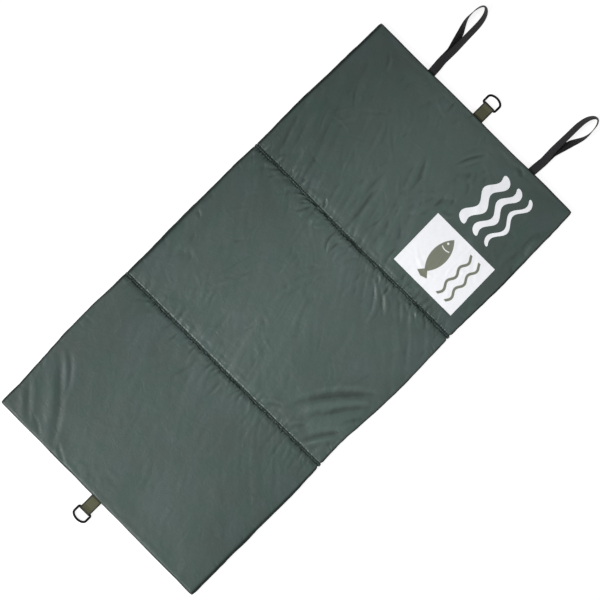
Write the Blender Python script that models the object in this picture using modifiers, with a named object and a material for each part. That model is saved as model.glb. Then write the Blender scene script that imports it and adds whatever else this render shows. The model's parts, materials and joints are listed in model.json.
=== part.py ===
# Unhooking mat: three padded panels that fold in a Z, two webbing handles and two D-rings on webbing tabs.
# Metres, +Z up. The origin is the middle of the mat's flat underside, and +X runs to the end with the handles.
import math

import bmesh
import bpy
from mathutils import Matrix, Vector

# Driving sizes of the mat
HEAD_LENGTH = 0.3225
MIDDLE_LENGTH = 0.3335
TAIL_LENGTH = 0.334
MAT_WIDTH = 0.508
FOLD_GAP = 0.005
CLEARANCE = 0.0003

# Covers: coated nylon drawn over the pads, sewn at mid-height
COVER_SHEET = 0.0008
EDGE_THICKNESS = 0.0128
CROWN_RISE = 0.0022
SEAM_HEIGHT = 0.0065
HEM_DEPTH = 0.0006
EDGE_ROUND = 0.008
CORNER_PULL = 0.003
CORNER_REACH = 0.012
EDGE_STEPS = 4
CROWN_STEPS_ALONG = 6
CROWN_STEPS_ACROSS = 8

# Pads: flat sheets of closed-cell foam
FOAM_THICKNESS = 0.01
FOAM_INSET = 0.0055
FOAM_ROUND = 0.004
FOAM_ROUND_STEPS = 3

# Fold webs: the cloth sewn through between two panels
WEB_THICKNESS = 0.0018
WEB_ROUND = 0.0007
WEB_RECESS = 0.004
WEB_ROUND_STEPS = 2

# Folds: the head panel turns over the top, the tail panel turns under
FOLD_SLACK_OVER = 0.0012
FOLD_SLACK_UNDER = 0.0004

# Handles: one strap each, doubled at the sewn end and opening into a loop
STRAP_WIDTH = 0.017
STRAP_SHEET = 0.0014
STRAP_LAYER_GAP = 0.0005
HANDLE_REACH = 0.156
HANDLE_SPREAD_LEFT = 0.025
HANDLE_SPREAD_RIGHT = 0.0265
HANDLE_PLACE_LEFT = 0.1195
HANDLE_PLACE_RIGHT = -0.1425
HANDLE_SETTLE = 0.06
HANDLE_SPAN_STEPS = 3
HANDLE_TURN_STEPS = 6
# Reach along the mat, spread towards its side, and how far the strap has turned over its length
HANDLE_ROUTE_SHARES = [
    (0.0, 0.0, 0.0),
    (0.077, 0.032, 0.044),
    (0.192, 0.088, 0.144),
    (0.288, 0.056, 0.2),
    (0.372, 0.028, 0.233),
    (0.481, 0.028, 0.256),
    (0.609, 0.032, 0.272),
    (0.756, 0.036, 0.283),
    (0.853, 0.088, 0.306),
    (0.929, 0.208, 0.333),
    (0.981, 0.4, 0.361),
    (1.0, 0.6, 0.383),
    (0.99, 0.772, 0.411),
    (0.949, 0.912, 0.439),
    (0.885, 0.988, 0.472),
    (0.808, 1.0, 0.517),
    (0.756, 0.972, 0.567),
    (0.705, 0.896, 0.628),
    (0.641, 0.74, 0.7),
    (0.577, 0.568, 0.767),
    (0.532, 0.48, 0.778),
    (0.449, 0.332, 0.778),
    (0.346, 0.144, 0.789),
    (0.288, 0.108, 0.806),
    (0.192, 0.088, 0.856),
    (0.077, 0.032, 0.956),
    (0.0, 0.0, 1.0),
]

# D-rings and the tabs that hold them
RING_WIRE = 0.0036
RING_WIDTH = 0.033
RING_LEG = 0.0132
RING_DEPTH = 0.0236
RING_BEND = 0.0025
RING_BEND_STEPS = 3
RING_ARC_STEPS = 16
TAB_WIDTH = 0.0242
TAB_SHEET = 0.0012
TAB_LENGTH = 0.0305
TAB_FLARE = 0.0085
TAB_EYE_GAP = 0.0003
TAB_ARC_STEPS = 16
TAB_EYE_HUG_SHARE = 0.7
HEAD_TAB_PLACE = -0.0005
TAIL_TAB_PLACE = 0.0008
FLOOR_GAP = 0.0001

# Places worked out from the sizes
MAT_LENGTH = HEAD_LENGTH + MIDDLE_LENGTH + TAIL_LENGTH + 2 * FOLD_GAP
HEAD_END = MAT_LENGTH / 2
TAIL_END = -MAT_LENGTH / 2
HEAD_FOLD = HEAD_END - HEAD_LENGTH - FOLD_GAP / 2
TAIL_FOLD = TAIL_END + TAIL_LENGTH + FOLD_GAP / 2
THICKNESS = EDGE_THICKNESS + CROWN_RISE
HANDLE_HINGE = HEAD_END + CLEARANCE + STRAP_SHEET + STRAP_LAYER_GAP / 2
TAB_HINGE_OUT = CLEARANCE + TAB_SHEET
EYE_RADIUS = RING_WIRE / 2 + TAB_EYE_GAP
EYE_OUTSIDE = EYE_RADIUS + TAB_SHEET
TAB_DROOP = math.asin((SEAM_HEIGHT - EYE_OUTSIDE - FLOOR_GAP) / TAB_LENGTH)
RING_DROOP = math.asin((EYE_OUTSIDE - RING_WIRE / 2) / (RING_DEPTH - RING_WIRE / 2))


def clear_scene():
    for obj in list(bpy.data.objects):
        bpy.data.objects.remove(obj, do_unlink=True)


def new_collection(name):
    group = bpy.data.collections.new(name)
    bpy.context.scene.collection.children.link(group)
    return group


def finish(name, colour, roughness, metallic=0.0):
    surface = bpy.data.materials.new(name)
    surface.use_nodes = True
    shader = surface.node_tree.nodes["Principled BSDF"]
    shader.inputs["Base Color"].default_value = (*colour, 1.0)
    shader.inputs["Roughness"].default_value = roughness
    shader.inputs["Metallic"].default_value = metallic
    return surface


def add_pivot(name, point, parent=None):
    """An empty on a joint's axis, which carries the pieces that turn there."""
    pivot = bpy.data.objects.new(name, None)
    pivot.empty_display_size = THICKNESS
    MAT.objects.link(pivot)
    carry(pivot, parent, point)
    return pivot


def world_place(obj):
    """Where an object's origin is, added up through the objects that carry it."""
    place = obj.location.copy()
    while obj.parent:
        obj = obj.parent
        place += obj.location
    return place


def carry(obj, parent, point):
    """Puts an object's origin at a point of the mat and hangs it on what carries it."""
    obj.parent = parent
    obj.location = Vector(point) - (world_place(parent) if parent else Vector())


def mesh_object(name, bm, surface, parent, point, smooth_below):
    mesh = bpy.data.meshes.new(name)
    bm.to_mesh(mesh)
    bm.free()
    obj = bpy.data.objects.new(name, mesh)
    MAT.objects.link(obj)
    mesh.materials.append(surface)
    mesh.shade_smooth()
    mesh.set_sharp_from_angle(angle=math.radians(smooth_below))
    carry(obj, parent, point)
    return obj


def add_bevel(obj, width, steps):
    bevel = obj.modifiers.new("rounded edges", "BEVEL")
    bevel.width = width
    bevel.segments = steps
    bevel.limit_method = "ANGLE"


def add_sheet(obj, thickness, offset):
    sheet = obj.modifiers.new("cloth thickness", "SOLIDIFY")
    sheet.thickness = thickness
    sheet.offset = offset
    sheet.use_even_offset = True


# Covers
def stations(length, crown_steps):
    """Places along one side of a panel: close together over the rounded edges, then even over the crown."""
    edge = [
        EDGE_ROUND * (1 - math.cos(math.pi / 2 * k / EDGE_STEPS))
        for k in range(EDGE_STEPS + 1)
    ]
    flat = length - 2 * EDGE_ROUND
    inner = [EDGE_ROUND + flat * k / crown_steps for k in range(1, crown_steps)]
    return [d - length / 2 for d in edge + inner + [length - d for d in reversed(edge)]]


def edge_rise(distance):
    """A quarter round: nothing at the rim, one where the rounded edge ends."""
    short = 1 - min(distance / EDGE_ROUND, 1)
    return math.sqrt(1 - short * short)


def corner_draw(distance):
    """How much of the corner pull is left this far from the corner."""
    return (1 - min(distance / CORNER_REACH, 1)) ** 2


def crown(share_along, share_across):
    return (1 - share_along**2) * (1 - share_across**2)


def cover_surface(length, width, upper, steps_along, steps_across):
    """The outer face of a cover, with its rim turned straight down to the sewn edge."""
    along = stations(length, steps_along)
    across = stations(width, steps_across)
    seam_gap = CLEARANCE / 2
    if upper:
        rim = SEAM_HEIGHT + seam_gap
        rise = EDGE_THICKNESS - rim - HEM_DEPTH
        way = 1
    else:
        rim = SEAM_HEIGHT - seam_gap
        rise = rim - HEM_DEPTH
        way = -1
    bm = bmesh.new()
    bmesh.ops.create_grid(
        bm, x_segments=len(along) - 1, y_segments=len(across) - 1, size=1
    )
    for vert in bm.verts:
        x = along[round((vert.co.x + 1) / 2 * (len(along) - 1))]
        y = across[round((vert.co.y + 1) / 2 * (len(across) - 1))]
        to_end = length / 2 - abs(x)
        to_side = width / 2 - abs(y)
        height = HEM_DEPTH + rise * edge_rise(to_end) * edge_rise(to_side)
        if upper:
            height += CROWN_RISE * crown(2 * x / length, 2 * y / width)
        vert.co.x = x * (1 - 2 * CORNER_PULL / length * corner_draw(to_side))
        vert.co.y = y * (1 - 2 * CORNER_PULL / width * corner_draw(to_end))
        vert.co.z = rim + way * height
    border = [edge for edge in bm.edges if edge.is_boundary]
    turned = bmesh.ops.extrude_edge_only(bm, edges=border)["geom"]
    for vert in (item for item in turned if isinstance(item, bmesh.types.BMVert)):
        vert.co.z = rim
    bmesh.ops.recalc_face_normals(bm, faces=bm.faces)
    middle = max(bm.faces, key=lambda face: way * face.calc_center_median().z)
    if middle.normal.z * way < 0:
        bmesh.ops.reverse_faces(bm, faces=bm.faces)
    return bm


def make_panel(name, low, high, parent):
    """One panel: upper cover, under cover and the foam pad between them."""
    length = high - low
    middle = ((low + high) / 2, 0, 0)
    upper = cover_surface(
        length, MAT_WIDTH, True, CROWN_STEPS_ALONG, CROWN_STEPS_ACROSS
    )
    top = mesh_object(f"top_cover_{name}", upper, NYLON, parent, middle, 40)
    add_sheet(top, COVER_SHEET, -1)
    under = cover_surface(length, MAT_WIDTH, False, 1, 1)
    bottom = mesh_object(f"bottom_cover_{name}", under, NYLON, parent, middle, 40)
    add_sheet(bottom, COVER_SHEET, -1)
    make_pad(f"foam_pad_{name}", length, middle[0], parent)


def make_pad(name, length, middle, parent):
    bm = bmesh.new()
    size = (length - 2 * FOAM_INSET, MAT_WIDTH - 2 * FOAM_INSET, FOAM_THICKNESS)
    bmesh.ops.create_cube(bm, size=1, matrix=Matrix.Diagonal((*size, 1)))
    height = COVER_SHEET + CLEARANCE + FOAM_THICKNESS / 2
    pad = mesh_object(name, bm, FOAM, parent, (middle, 0, height), 40)
    add_bevel(pad, FOAM_ROUND, FOAM_ROUND_STEPS)


# Fold webs
def make_web(name, fold):
    bm = bmesh.new()
    size = (FOLD_GAP - 2 * CLEARANCE, MAT_WIDTH - 2 * WEB_RECESS, WEB_THICKNESS)
    bmesh.ops.create_cube(bm, size=1, matrix=Matrix.Diagonal((*size, 1)))
    web = mesh_object(name, bm, NYLON_FOLD, None, (fold, 0, SEAM_HEIGHT), 40)
    add_bevel(web, WEB_ROUND, WEB_ROUND_STEPS)


# Handles
def smooth_step(share):
    share = min(max(share, 0), 1)
    return share * share * (3 - 2 * share)


def between(before, start, end, after, share):
    """A smooth curve through four values in a row, read between the middle two."""
    linear = end - before
    square = 2 * before - 5 * start + 4 * end - after
    cube = 3 * start - before - 3 * end + after
    return start + share / 2 * (linear + share * (square + share * cube))


def route_points(spread):
    """Reach, spread and turn all along the strap, read from the route's own points."""
    rows = [
        (reach * HANDLE_REACH, side * spread, turn * math.pi)
        for reach, side, turn in HANDLE_ROUTE_SHARES
    ]
    rows = [rows[0]] + rows + [rows[-1]]
    points = []
    for k in range(1, len(rows) - 2):
        for step in range(HANDLE_SPAN_STEPS):
            share = step / HANDLE_SPAN_STEPS
            span = zip(rows[k - 1], rows[k], rows[k + 1], rows[k + 2])
            points.append([between(*four, share) for four in span])
    points.append(list(rows[-1]))
    return points


def strap_sections(spread):
    """Centre and width direction of the strap at each section, from the hinge out and back, then round the hinge."""
    half_layers = (STRAP_SHEET + STRAP_LAYER_GAP) / 2
    points = route_points(spread)
    sections = []
    for k, (reach, side, turn) in enumerate(points):
        before = points[max(k - 1, 0)]
        after = points[min(k + 1, len(points) - 1)]
        heading = math.atan2(after[1] - before[1], after[0] - before[0])
        if k == len(points) - 1:
            heading = math.pi
        left = Vector((-math.sin(heading), math.cos(heading), 0))
        up = Vector((0, 0, 1))
        width_way = math.cos(turn) * left + math.sin(turn) * up
        layer_way = math.cos(turn) * up - math.sin(turn) * left
        apart = half_layers * (1 - smooth_step(reach / HANDLE_SETTLE - 1))
        flat_share = abs(math.cos(turn))
        rest = STRAP_WIDTH / 2 * math.sin(turn) + (STRAP_SHEET / 2 + apart) * flat_share
        settled = smooth_step(reach / HANDLE_SETTLE)
        height = settled * (rest + FLOOR_GAP - SEAM_HEIGHT)
        centre = Vector((reach, side, height)) + apart * layer_way
        sections.append((centre, width_way))
    for k in range(1, HANDLE_TURN_STEPS):
        angle = -math.pi / 2 - math.pi * k / HANDLE_TURN_STEPS
        round_hinge = Vector((math.cos(angle), 0, math.sin(angle)))
        sections.append((half_layers * round_hinge, Vector((0, 1, 0))))
    return sections


def make_handle(name, place, side, spread, parent):
    """A strap loop. side is 1 for the handle at +Y, whose loop leans that way, and -1 for its mirror image."""
    sections = strap_sections(spread)
    sections.append(sections[0])
    bm = bmesh.new()
    bmesh.ops.create_grid(bm, x_segments=len(sections) - 1, y_segments=1, size=1)
    for vert in bm.verts:
        centre, width_way = sections[round((vert.co.x + 1) / 2 * (len(sections) - 1))]
        point = centre + vert.co.y * STRAP_WIDTH / 2 * width_way
        vert.co = (point.x, side * point.y, point.z)
    bmesh.ops.remove_doubles(bm, verts=bm.verts, dist=CLEARANCE / 100)
    hinge = (HANDLE_HINGE, place, SEAM_HEIGHT)
    handle = mesh_object(name, bm, BLACK_WEBBING, parent, hinge, 50)
    add_sheet(handle, STRAP_SHEET, 0)


# Tabs and D-rings
def arc(centre, radius, start, end, steps):
    return [
        (
            centre[0] + radius[0] * math.cos(start + (end - start) * k / steps),
            centre[1] + radius[1] * math.sin(start + (end - start) * k / steps),
        )
        for k in range(steps + 1)
    ]


def add_outline(curve, points):
    spline = curve.splines.new("POLY")
    spline.points.add(len(points) - 1)
    for point, (x, y) in zip(spline.points, points):
        point.co = (x, y, 0, 1)
    spline.use_cyclic_u = True


def curve_object(name, dimensions, surface):
    curve = bpy.data.curves.new(name, "CURVE")
    curve.dimensions = dimensions
    obj = bpy.data.objects.new(name, curve)
    MAT.objects.link(obj)
    curve.materials.append(surface)
    return obj


def make_tab(name, parent, hinge, facing):
    """Webbing folded round the ring's bar: its side outline, with the eye for the bar, as wide as the webbing."""
    tab = curve_object(name, "2D", OLIVE_WEBBING)
    eye = (TAB_LENGTH, 0)
    hug = math.pi * TAB_EYE_HUG_SHARE
    outside = arc(
        (0, 0), (TAB_SHEET, TAB_SHEET), math.pi / 2, 3 * math.pi / 2, TAB_ARC_STEPS // 2
    )
    outside.append((TAB_LENGTH - TAB_FLARE, -TAB_SHEET))
    outside += arc(eye, (EYE_OUTSIDE, EYE_OUTSIDE), -hug, hug, TAB_ARC_STEPS)
    outside.append((TAB_LENGTH - TAB_FLARE, TAB_SHEET))
    add_outline(tab.data, outside)
    full_turn = arc(eye, (EYE_RADIUS, EYE_RADIUS), 0, 2 * math.pi, TAB_ARC_STEPS)
    add_outline(tab.data, full_turn[:-1])
    tab.data.fill_mode = "BOTH"
    tab.data.extrude = TAB_WIDTH / 2
    carry(tab, parent, hinge)
    turn = Matrix.Rotation(facing, 3, "Z") @ Matrix.Rotation(TAB_DROOP, 3, "Y")
    tab.rotation_euler = (turn @ Matrix.Rotation(math.pi / 2, 3, "X")).to_euler()


def make_ring(name, parent, bar, facing):
    """A D of round wire: the bar, two bends, two straight legs and the bow."""
    ring = curve_object(name, "3D", DARK_WIRE)
    half = (RING_WIDTH - RING_WIRE) / 2
    bend = (RING_BEND, RING_BEND)
    bow = (RING_DEPTH - RING_WIRE / 2 - RING_LEG, half)
    lower = arc(
        (RING_BEND, RING_BEND - half),
        bend,
        math.pi,
        3 * math.pi / 2,
        RING_BEND_STEPS,
    )
    outer = arc((RING_LEG, 0), bow, -math.pi / 2, math.pi / 2, RING_ARC_STEPS)
    upper = arc(
        (RING_BEND, half - RING_BEND), bend, math.pi / 2, math.pi, RING_BEND_STEPS
    )
    add_outline(ring.data, lower + outer + upper)
    ring.data.bevel_depth = RING_WIRE / 2
    ring.data.bevel_resolution = 2
    carry(ring, parent, bar)
    turn = Matrix.Rotation(facing, 3, "Z") @ Matrix.Rotation(RING_DROOP, 3, "Y")
    ring.rotation_euler = turn.to_euler()


def make_ring_and_tab(name, end, place, facing, parent):
    """facing is 0 where the ring points to +X and half a turn where it points to -X."""
    way = math.cos(facing)
    hinge = (end + way * TAB_HINGE_OUT, place, SEAM_HEIGHT)
    tab_pivot = add_pivot(f"ring_tab_{name}_pivot", hinge, parent)
    make_tab(f"ring_tab_{name}", tab_pivot, hinge, facing)
    bar = (
        hinge[0] + way * TAB_LENGTH * math.cos(TAB_DROOP),
        place,
        hinge[2] - TAB_LENGTH * math.sin(TAB_DROOP),
    )
    make_ring(f"d_ring_{name}", tab_pivot, bar, facing)


clear_scene()
MAT = new_collection("unhooking_mat")
NYLON = finish("coated nylon", (0.078, 0.114, 0.102), 0.45)
NYLON_FOLD = finish("coated nylon in the fold", (0.04, 0.06, 0.053), 0.6)
FOAM = finish("closed-cell foam", (0.6, 0.6, 0.58), 0.9)
BLACK_WEBBING = finish("black webbing", (0.016, 0.017, 0.02), 0.7)
OLIVE_WEBBING = finish("olive webbing", (0.09, 0.09, 0.045), 0.75)
DARK_WIRE = finish("dark plated wire", (0.02, 0.02, 0.022), 0.35, 0.9)

head_pivot = add_pivot("head_panel_pivot", (HEAD_FOLD, 0, THICKNESS + FOLD_SLACK_OVER))
tail_pivot = add_pivot("tail_panel_pivot", (TAIL_FOLD, 0, -FOLD_SLACK_UNDER))
make_panel("head", HEAD_FOLD + FOLD_GAP / 2, HEAD_END, head_pivot)
make_panel("middle", TAIL_FOLD + FOLD_GAP / 2, HEAD_FOLD - FOLD_GAP / 2, None)
make_panel("tail", TAIL_END, TAIL_FOLD - FOLD_GAP / 2, tail_pivot)
make_web("fold_web_head", HEAD_FOLD)
make_web("fold_web_tail", TAIL_FOLD)
make_handle("handle_left", HANDLE_PLACE_LEFT, 1, HANDLE_SPREAD_LEFT, head_pivot)
make_handle("handle_right", HANDLE_PLACE_RIGHT, -1, HANDLE_SPREAD_RIGHT, head_pivot)
make_ring_and_tab("head", HEAD_END, HEAD_TAB_PLACE, 0, head_pivot)
make_ring_and_tab("tail", TAIL_END, TAIL_TAB_PLACE, math.pi, tail_pivot)
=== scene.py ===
import json
import math

import bpy
import numpy as np
from mathutils import Matrix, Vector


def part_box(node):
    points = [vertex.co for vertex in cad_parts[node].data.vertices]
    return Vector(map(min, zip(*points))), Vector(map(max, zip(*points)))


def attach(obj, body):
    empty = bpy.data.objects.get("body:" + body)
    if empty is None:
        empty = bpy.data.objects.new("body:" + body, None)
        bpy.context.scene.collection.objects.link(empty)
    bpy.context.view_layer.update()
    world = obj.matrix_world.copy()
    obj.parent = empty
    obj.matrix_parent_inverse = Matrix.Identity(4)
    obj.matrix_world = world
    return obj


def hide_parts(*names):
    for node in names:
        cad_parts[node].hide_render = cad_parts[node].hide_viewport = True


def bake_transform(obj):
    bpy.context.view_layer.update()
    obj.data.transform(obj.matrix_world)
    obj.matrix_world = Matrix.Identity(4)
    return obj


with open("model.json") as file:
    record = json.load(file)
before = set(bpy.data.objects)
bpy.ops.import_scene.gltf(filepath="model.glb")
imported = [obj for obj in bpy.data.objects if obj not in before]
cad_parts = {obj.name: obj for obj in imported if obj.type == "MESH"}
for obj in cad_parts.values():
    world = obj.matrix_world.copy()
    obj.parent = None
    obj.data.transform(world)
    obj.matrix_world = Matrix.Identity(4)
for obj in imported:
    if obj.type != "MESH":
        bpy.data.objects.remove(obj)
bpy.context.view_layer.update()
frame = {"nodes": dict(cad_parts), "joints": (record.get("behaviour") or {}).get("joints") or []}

joints = {joint["name"]: joint for joint in frame["joints"]}
mm = 0.001   # metres in a millimetre
print("frame loaded:", len(frame["nodes"]), "nodes")

# where the photo shows the mat: pixel of its middle, metres per pixel, and its two directions in pixels
photo = {
    "size": 600,
    "centre": (299.5, 299.5),   # where the picture's centre falls when a pixel's place is its own centre
    "middle": (286.5, 308.25),
    "pixel": 0.001859,
    "along": (0.706, -0.708),
    "across": (-0.708, -0.706),
}


def fromPhoto(column, row):
    # a pixel's offset from the mat's middle, measured along the mat's two directions
    right = (np.asarray(column, float) - photo["middle"][0]) * photo["pixel"]
    down = (np.asarray(row, float) - photo["middle"][1]) * photo["pixel"]
    along = right * photo["along"][0] + down * photo["along"][1]
    across = right * photo["across"][0] + down * photo["across"][1]
    return along, across


# camera: straight down, from far away, turned as the photo is
cameraSet = {"lens": 120, "sensor": 36, "planeHeight": 0.012, "farEnd": 100}


def makeCamera(values):
    data = bpy.data.cameras.new("camera")
    data.lens = values["lens"]
    data.sensor_width = values["sensor"]
    data.clip_end = values["farEnd"]
    camera = bpy.data.objects.new("camera", data)
    bpy.context.scene.collection.objects.link(camera)
    along, across = photo["along"], photo["across"]
    distance = photo["size"] * photo["pixel"] * values["lens"] / values["sensor"]
    x, y = fromPhoto(*photo["centre"])
    camera.matrix_world = Matrix((
        (along[0], -along[1], 0, x),
        (across[0], -across[1], 0, y),
        (0, 0, 1, values["planeHeight"] + distance),
        (0, 0, 0, 1),
    ))
    bpy.context.scene.camera = camera


makeCamera(cameraSet)


# materials
def toLinear(hexColour):
    # sRGB to linear light: the low end is divided by 12.92, the rest is raised to the power 2.4
    parts = [int(hexColour[k:k + 2], 16) / 255 for k in (1, 3, 5)]
    return [c / 12.92 if c <= 0.04045 else ((c + 0.055) / 1.055) ** 2.4 for c in parts] + [1.0]


def addNode(tree, kind, inputs=None, **settings):
    node = tree.nodes.new(kind)
    for key, value in settings.items():
        setattr(node, key, value)
    for key, value in (inputs or {}).items():
        if isinstance(value, bpy.types.NodeSocket):
            tree.links.new(value, node.inputs[key])
        else:
            node.inputs[key].default_value = value
    return node


def newMaterial(name):
    material = bpy.data.materials.new(name)
    material.use_nodes = True
    tree = material.node_tree
    tree.nodes.clear()
    return material, tree


def perMetre(millimetres):
    # texture scale for a detail of this size
    return 1000 / millimetres


def bandScale(millimetres):
    # a wave texture repeats every 2 pi / 20 of its scaled coordinate
    return math.pi / 10 * 1000 / millimetres


def addWeave(tree, place, spacing):
    # a plain weave is the product of two waves that cross
    warp, weft = (addNode(tree, "ShaderNodeTexWave", {
        "Vector": place, "Scale": bandScale(spacing)}, bands_direction=way) for way in "XY")
    product = addNode(tree, "ShaderNodeMath", {
        0: warp.outputs["Fac"], 1: weft.outputs["Fac"]}, operation="MULTIPLY")
    return product.outputs[0]


# PU-coated nylon, woven and calendered: a soft satin with broad highlights that break up over crinkles
# the darkest two colours below are painted shade, for creases and for hems and folds, and the palest is
# painted light, for the middle and the crests
nylon = {
    "green": "#33453f", "grey": "#37433f", "blue": "#394746", "deep": "#1c2522", "worn": "#465651",
    "edge": "#0f1514", "mottleSize": 55, "blueSize": 90, "patchSize": 12, "crinkleSize": 24,
    "fineCrinkleSize": 6,
    "threadSpacing": 1.2,   # the real cloth has a thread every 0.3 mm, drawn coarser so that it shows
    "roughness": (0.42, 0.52),
}


def makeNylon(name, values):
    material, tree = newMaterial(name)
    place = addNode(tree, "ShaderNodeTexCoord").outputs["Object"]
    mottle = addNode(tree, "ShaderNodeTexNoise", {
        "Vector": place, "Scale": perMetre(values["mottleSize"]), "Detail": 4.0, "Distortion": 0.6})
    patches = addNode(tree, "ShaderNodeTexNoise", {
        "Vector": place, "Scale": perMetre(values["patchSize"]), "Detail": 2.0, "Roughness": 0.6})
    cool = addNode(tree, "ShaderNodeTexNoise", {
        "Vector": place, "Scale": perMetre(values["blueSize"]), "Detail": 1.0})
    share = addNode(tree, "ShaderNodeMapRange", {
        "Value": mottle.outputs[0], "From Min": 0.38, "From Max": 0.62})
    coolShare = addNode(tree, "ShaderNodeMapRange", {
        "Value": cool.outputs[0], "From Min": 0.52, "From Max": 0.7, "To Max": 0.8})
    cloth = addNode(tree, "ShaderNodeMix", {
        0: share.outputs[0], 6: toLinear(values["green"]), 7: toLinear(values["grey"])}, data_type="RGBA")
    cooled = addNode(tree, "ShaderNodeMix", {
        0: coolShare.outputs[0], 6: cloth.outputs[2], 7: toLinear(values["blue"])}, data_type="RGBA")
    # painted light makes the middle paler; painted shade darkens the creases and a painted highlight lightens
    # their crests
    rub = addNode(tree, "ShaderNodeAttribute", attribute_name="rub")
    litColour = addNode(tree, "ShaderNodeMix", {
        0: rub.outputs["Fac"], 6: cooled.outputs[2], 7: toLinear(values["worn"])}, data_type="RGBA")
    crease = addNode(tree, "ShaderNodeAttribute", attribute_name="crease")
    low = addNode(tree, "ShaderNodeMapRange", {
        "Value": crease.outputs["Fac"], "From Min": -0.15, "From Max": -1.0, "To Max": 0.62})
    high = addNode(tree, "ShaderNodeMapRange", {
        "Value": crease.outputs["Fac"], "From Min": 0.15, "From Max": 1.0, "To Max": 0.6})
    creaseShaded = addNode(tree, "ShaderNodeMix", {
        0: low.outputs[0], 6: litColour.outputs[2], 7: toLinear(values["deep"])}, data_type="RGBA")
    crestLit = addNode(tree, "ShaderNodeMix", {
        0: high.outputs[0], 6: creaseShaded.outputs[2], 7: toLinear(values["worn"])}, data_type="RGBA")
    # painted shade along the hems and in the folds: the hem attribute mixes the colour towards the darkest
    # one
    hem = addNode(tree, "ShaderNodeAttribute", attribute_name="hem")
    hemShadeShare = addNode(tree, "ShaderNodeMapRange", {
        "Value": hem.outputs["Fac"], "To Max": 0.95})
    colour = addNode(tree, "ShaderNodeMix", {
        0: hemShadeShare.outputs[0], 6: crestLit.outputs[2], 7: toLinear(values["edge"])}, data_type="RGBA")
    # roughness follows the coating's unevenness; in hems and folds the coating is broken and gives no gleam
    dull = addNode(tree, "ShaderNodeMapRange", {
        "Value": patches.outputs[0], "From Min": 0.3, "From Max": 0.7,
        "To Min": values["roughness"][0], "To Max": values["roughness"][1]})
    gleam = addNode(tree, "ShaderNodeMapRange", {
        "Value": hem.outputs["Fac"], "From Max": 0.6, "To Min": 0.5, "To Max": 0.06})
    # relief: ridged noise for crinkles, a finer one on it, then the weave
    crinkle = addNode(tree, "ShaderNodeTexNoise", {
        "Vector": place, "Scale": perMetre(values["crinkleSize"]), "Detail": 3.0, "Distortion": 1.2})
    folded = addNode(tree, "ShaderNodeMath", {
        0: crinkle.outputs[0], 1: 2.0, 2: -1.0}, operation="MULTIPLY_ADD")
    ridged = addNode(tree, "ShaderNodeMath", {0: folded.outputs[0]}, operation="ABSOLUTE")
    crinkleBump = addNode(tree, "ShaderNodeBump", {
        "Strength": 0.42, "Distance": 0.0009, "Height": ridged.outputs[0]})
    fine = addNode(tree, "ShaderNodeTexNoise", {
        "Vector": place, "Scale": perMetre(values["fineCrinkleSize"]), "Detail": 2.0, "Distortion": 0.6})
    fineBump = addNode(tree, "ShaderNodeBump", {
        "Strength": 0.62, "Distance": 0.0004, "Height": fine.outputs[0], "Normal": crinkleBump.outputs[0]})
    weave = addWeave(tree, place, values["threadSpacing"])
    weaveBump = addNode(tree, "ShaderNodeBump", {
        "Strength": 0.3, "Distance": 0.00012, "Height": weave, "Normal": fineBump.outputs[0]})
    shader = addNode(tree, "ShaderNodeBsdfPrincipled", {
        "Base Color": colour.outputs[2], "Roughness": dull.outputs[0], "Normal": weaveBump.outputs[0],
        "IOR": 1.5, "Specular IOR Level": gleam.outputs[0]})
    addNode(tree, "ShaderNodeOutputMaterial", {"Surface": shader.outputs[0]})
    return material


# woven polypropylene webbing: matt, ribbed across, with a tighter selvedge along each side
blackStrap = {"base": "#1a191d", "deep": "#09090a", "ribSpacing": 1.6, "fuzzSize": 1.4, "roughness": 0.7}
oliveStrap = {"base": "#52533a", "deep": "#090906", "ribSpacing": 1.8, "fuzzSize": 1.4, "roughness": 0.75}


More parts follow.
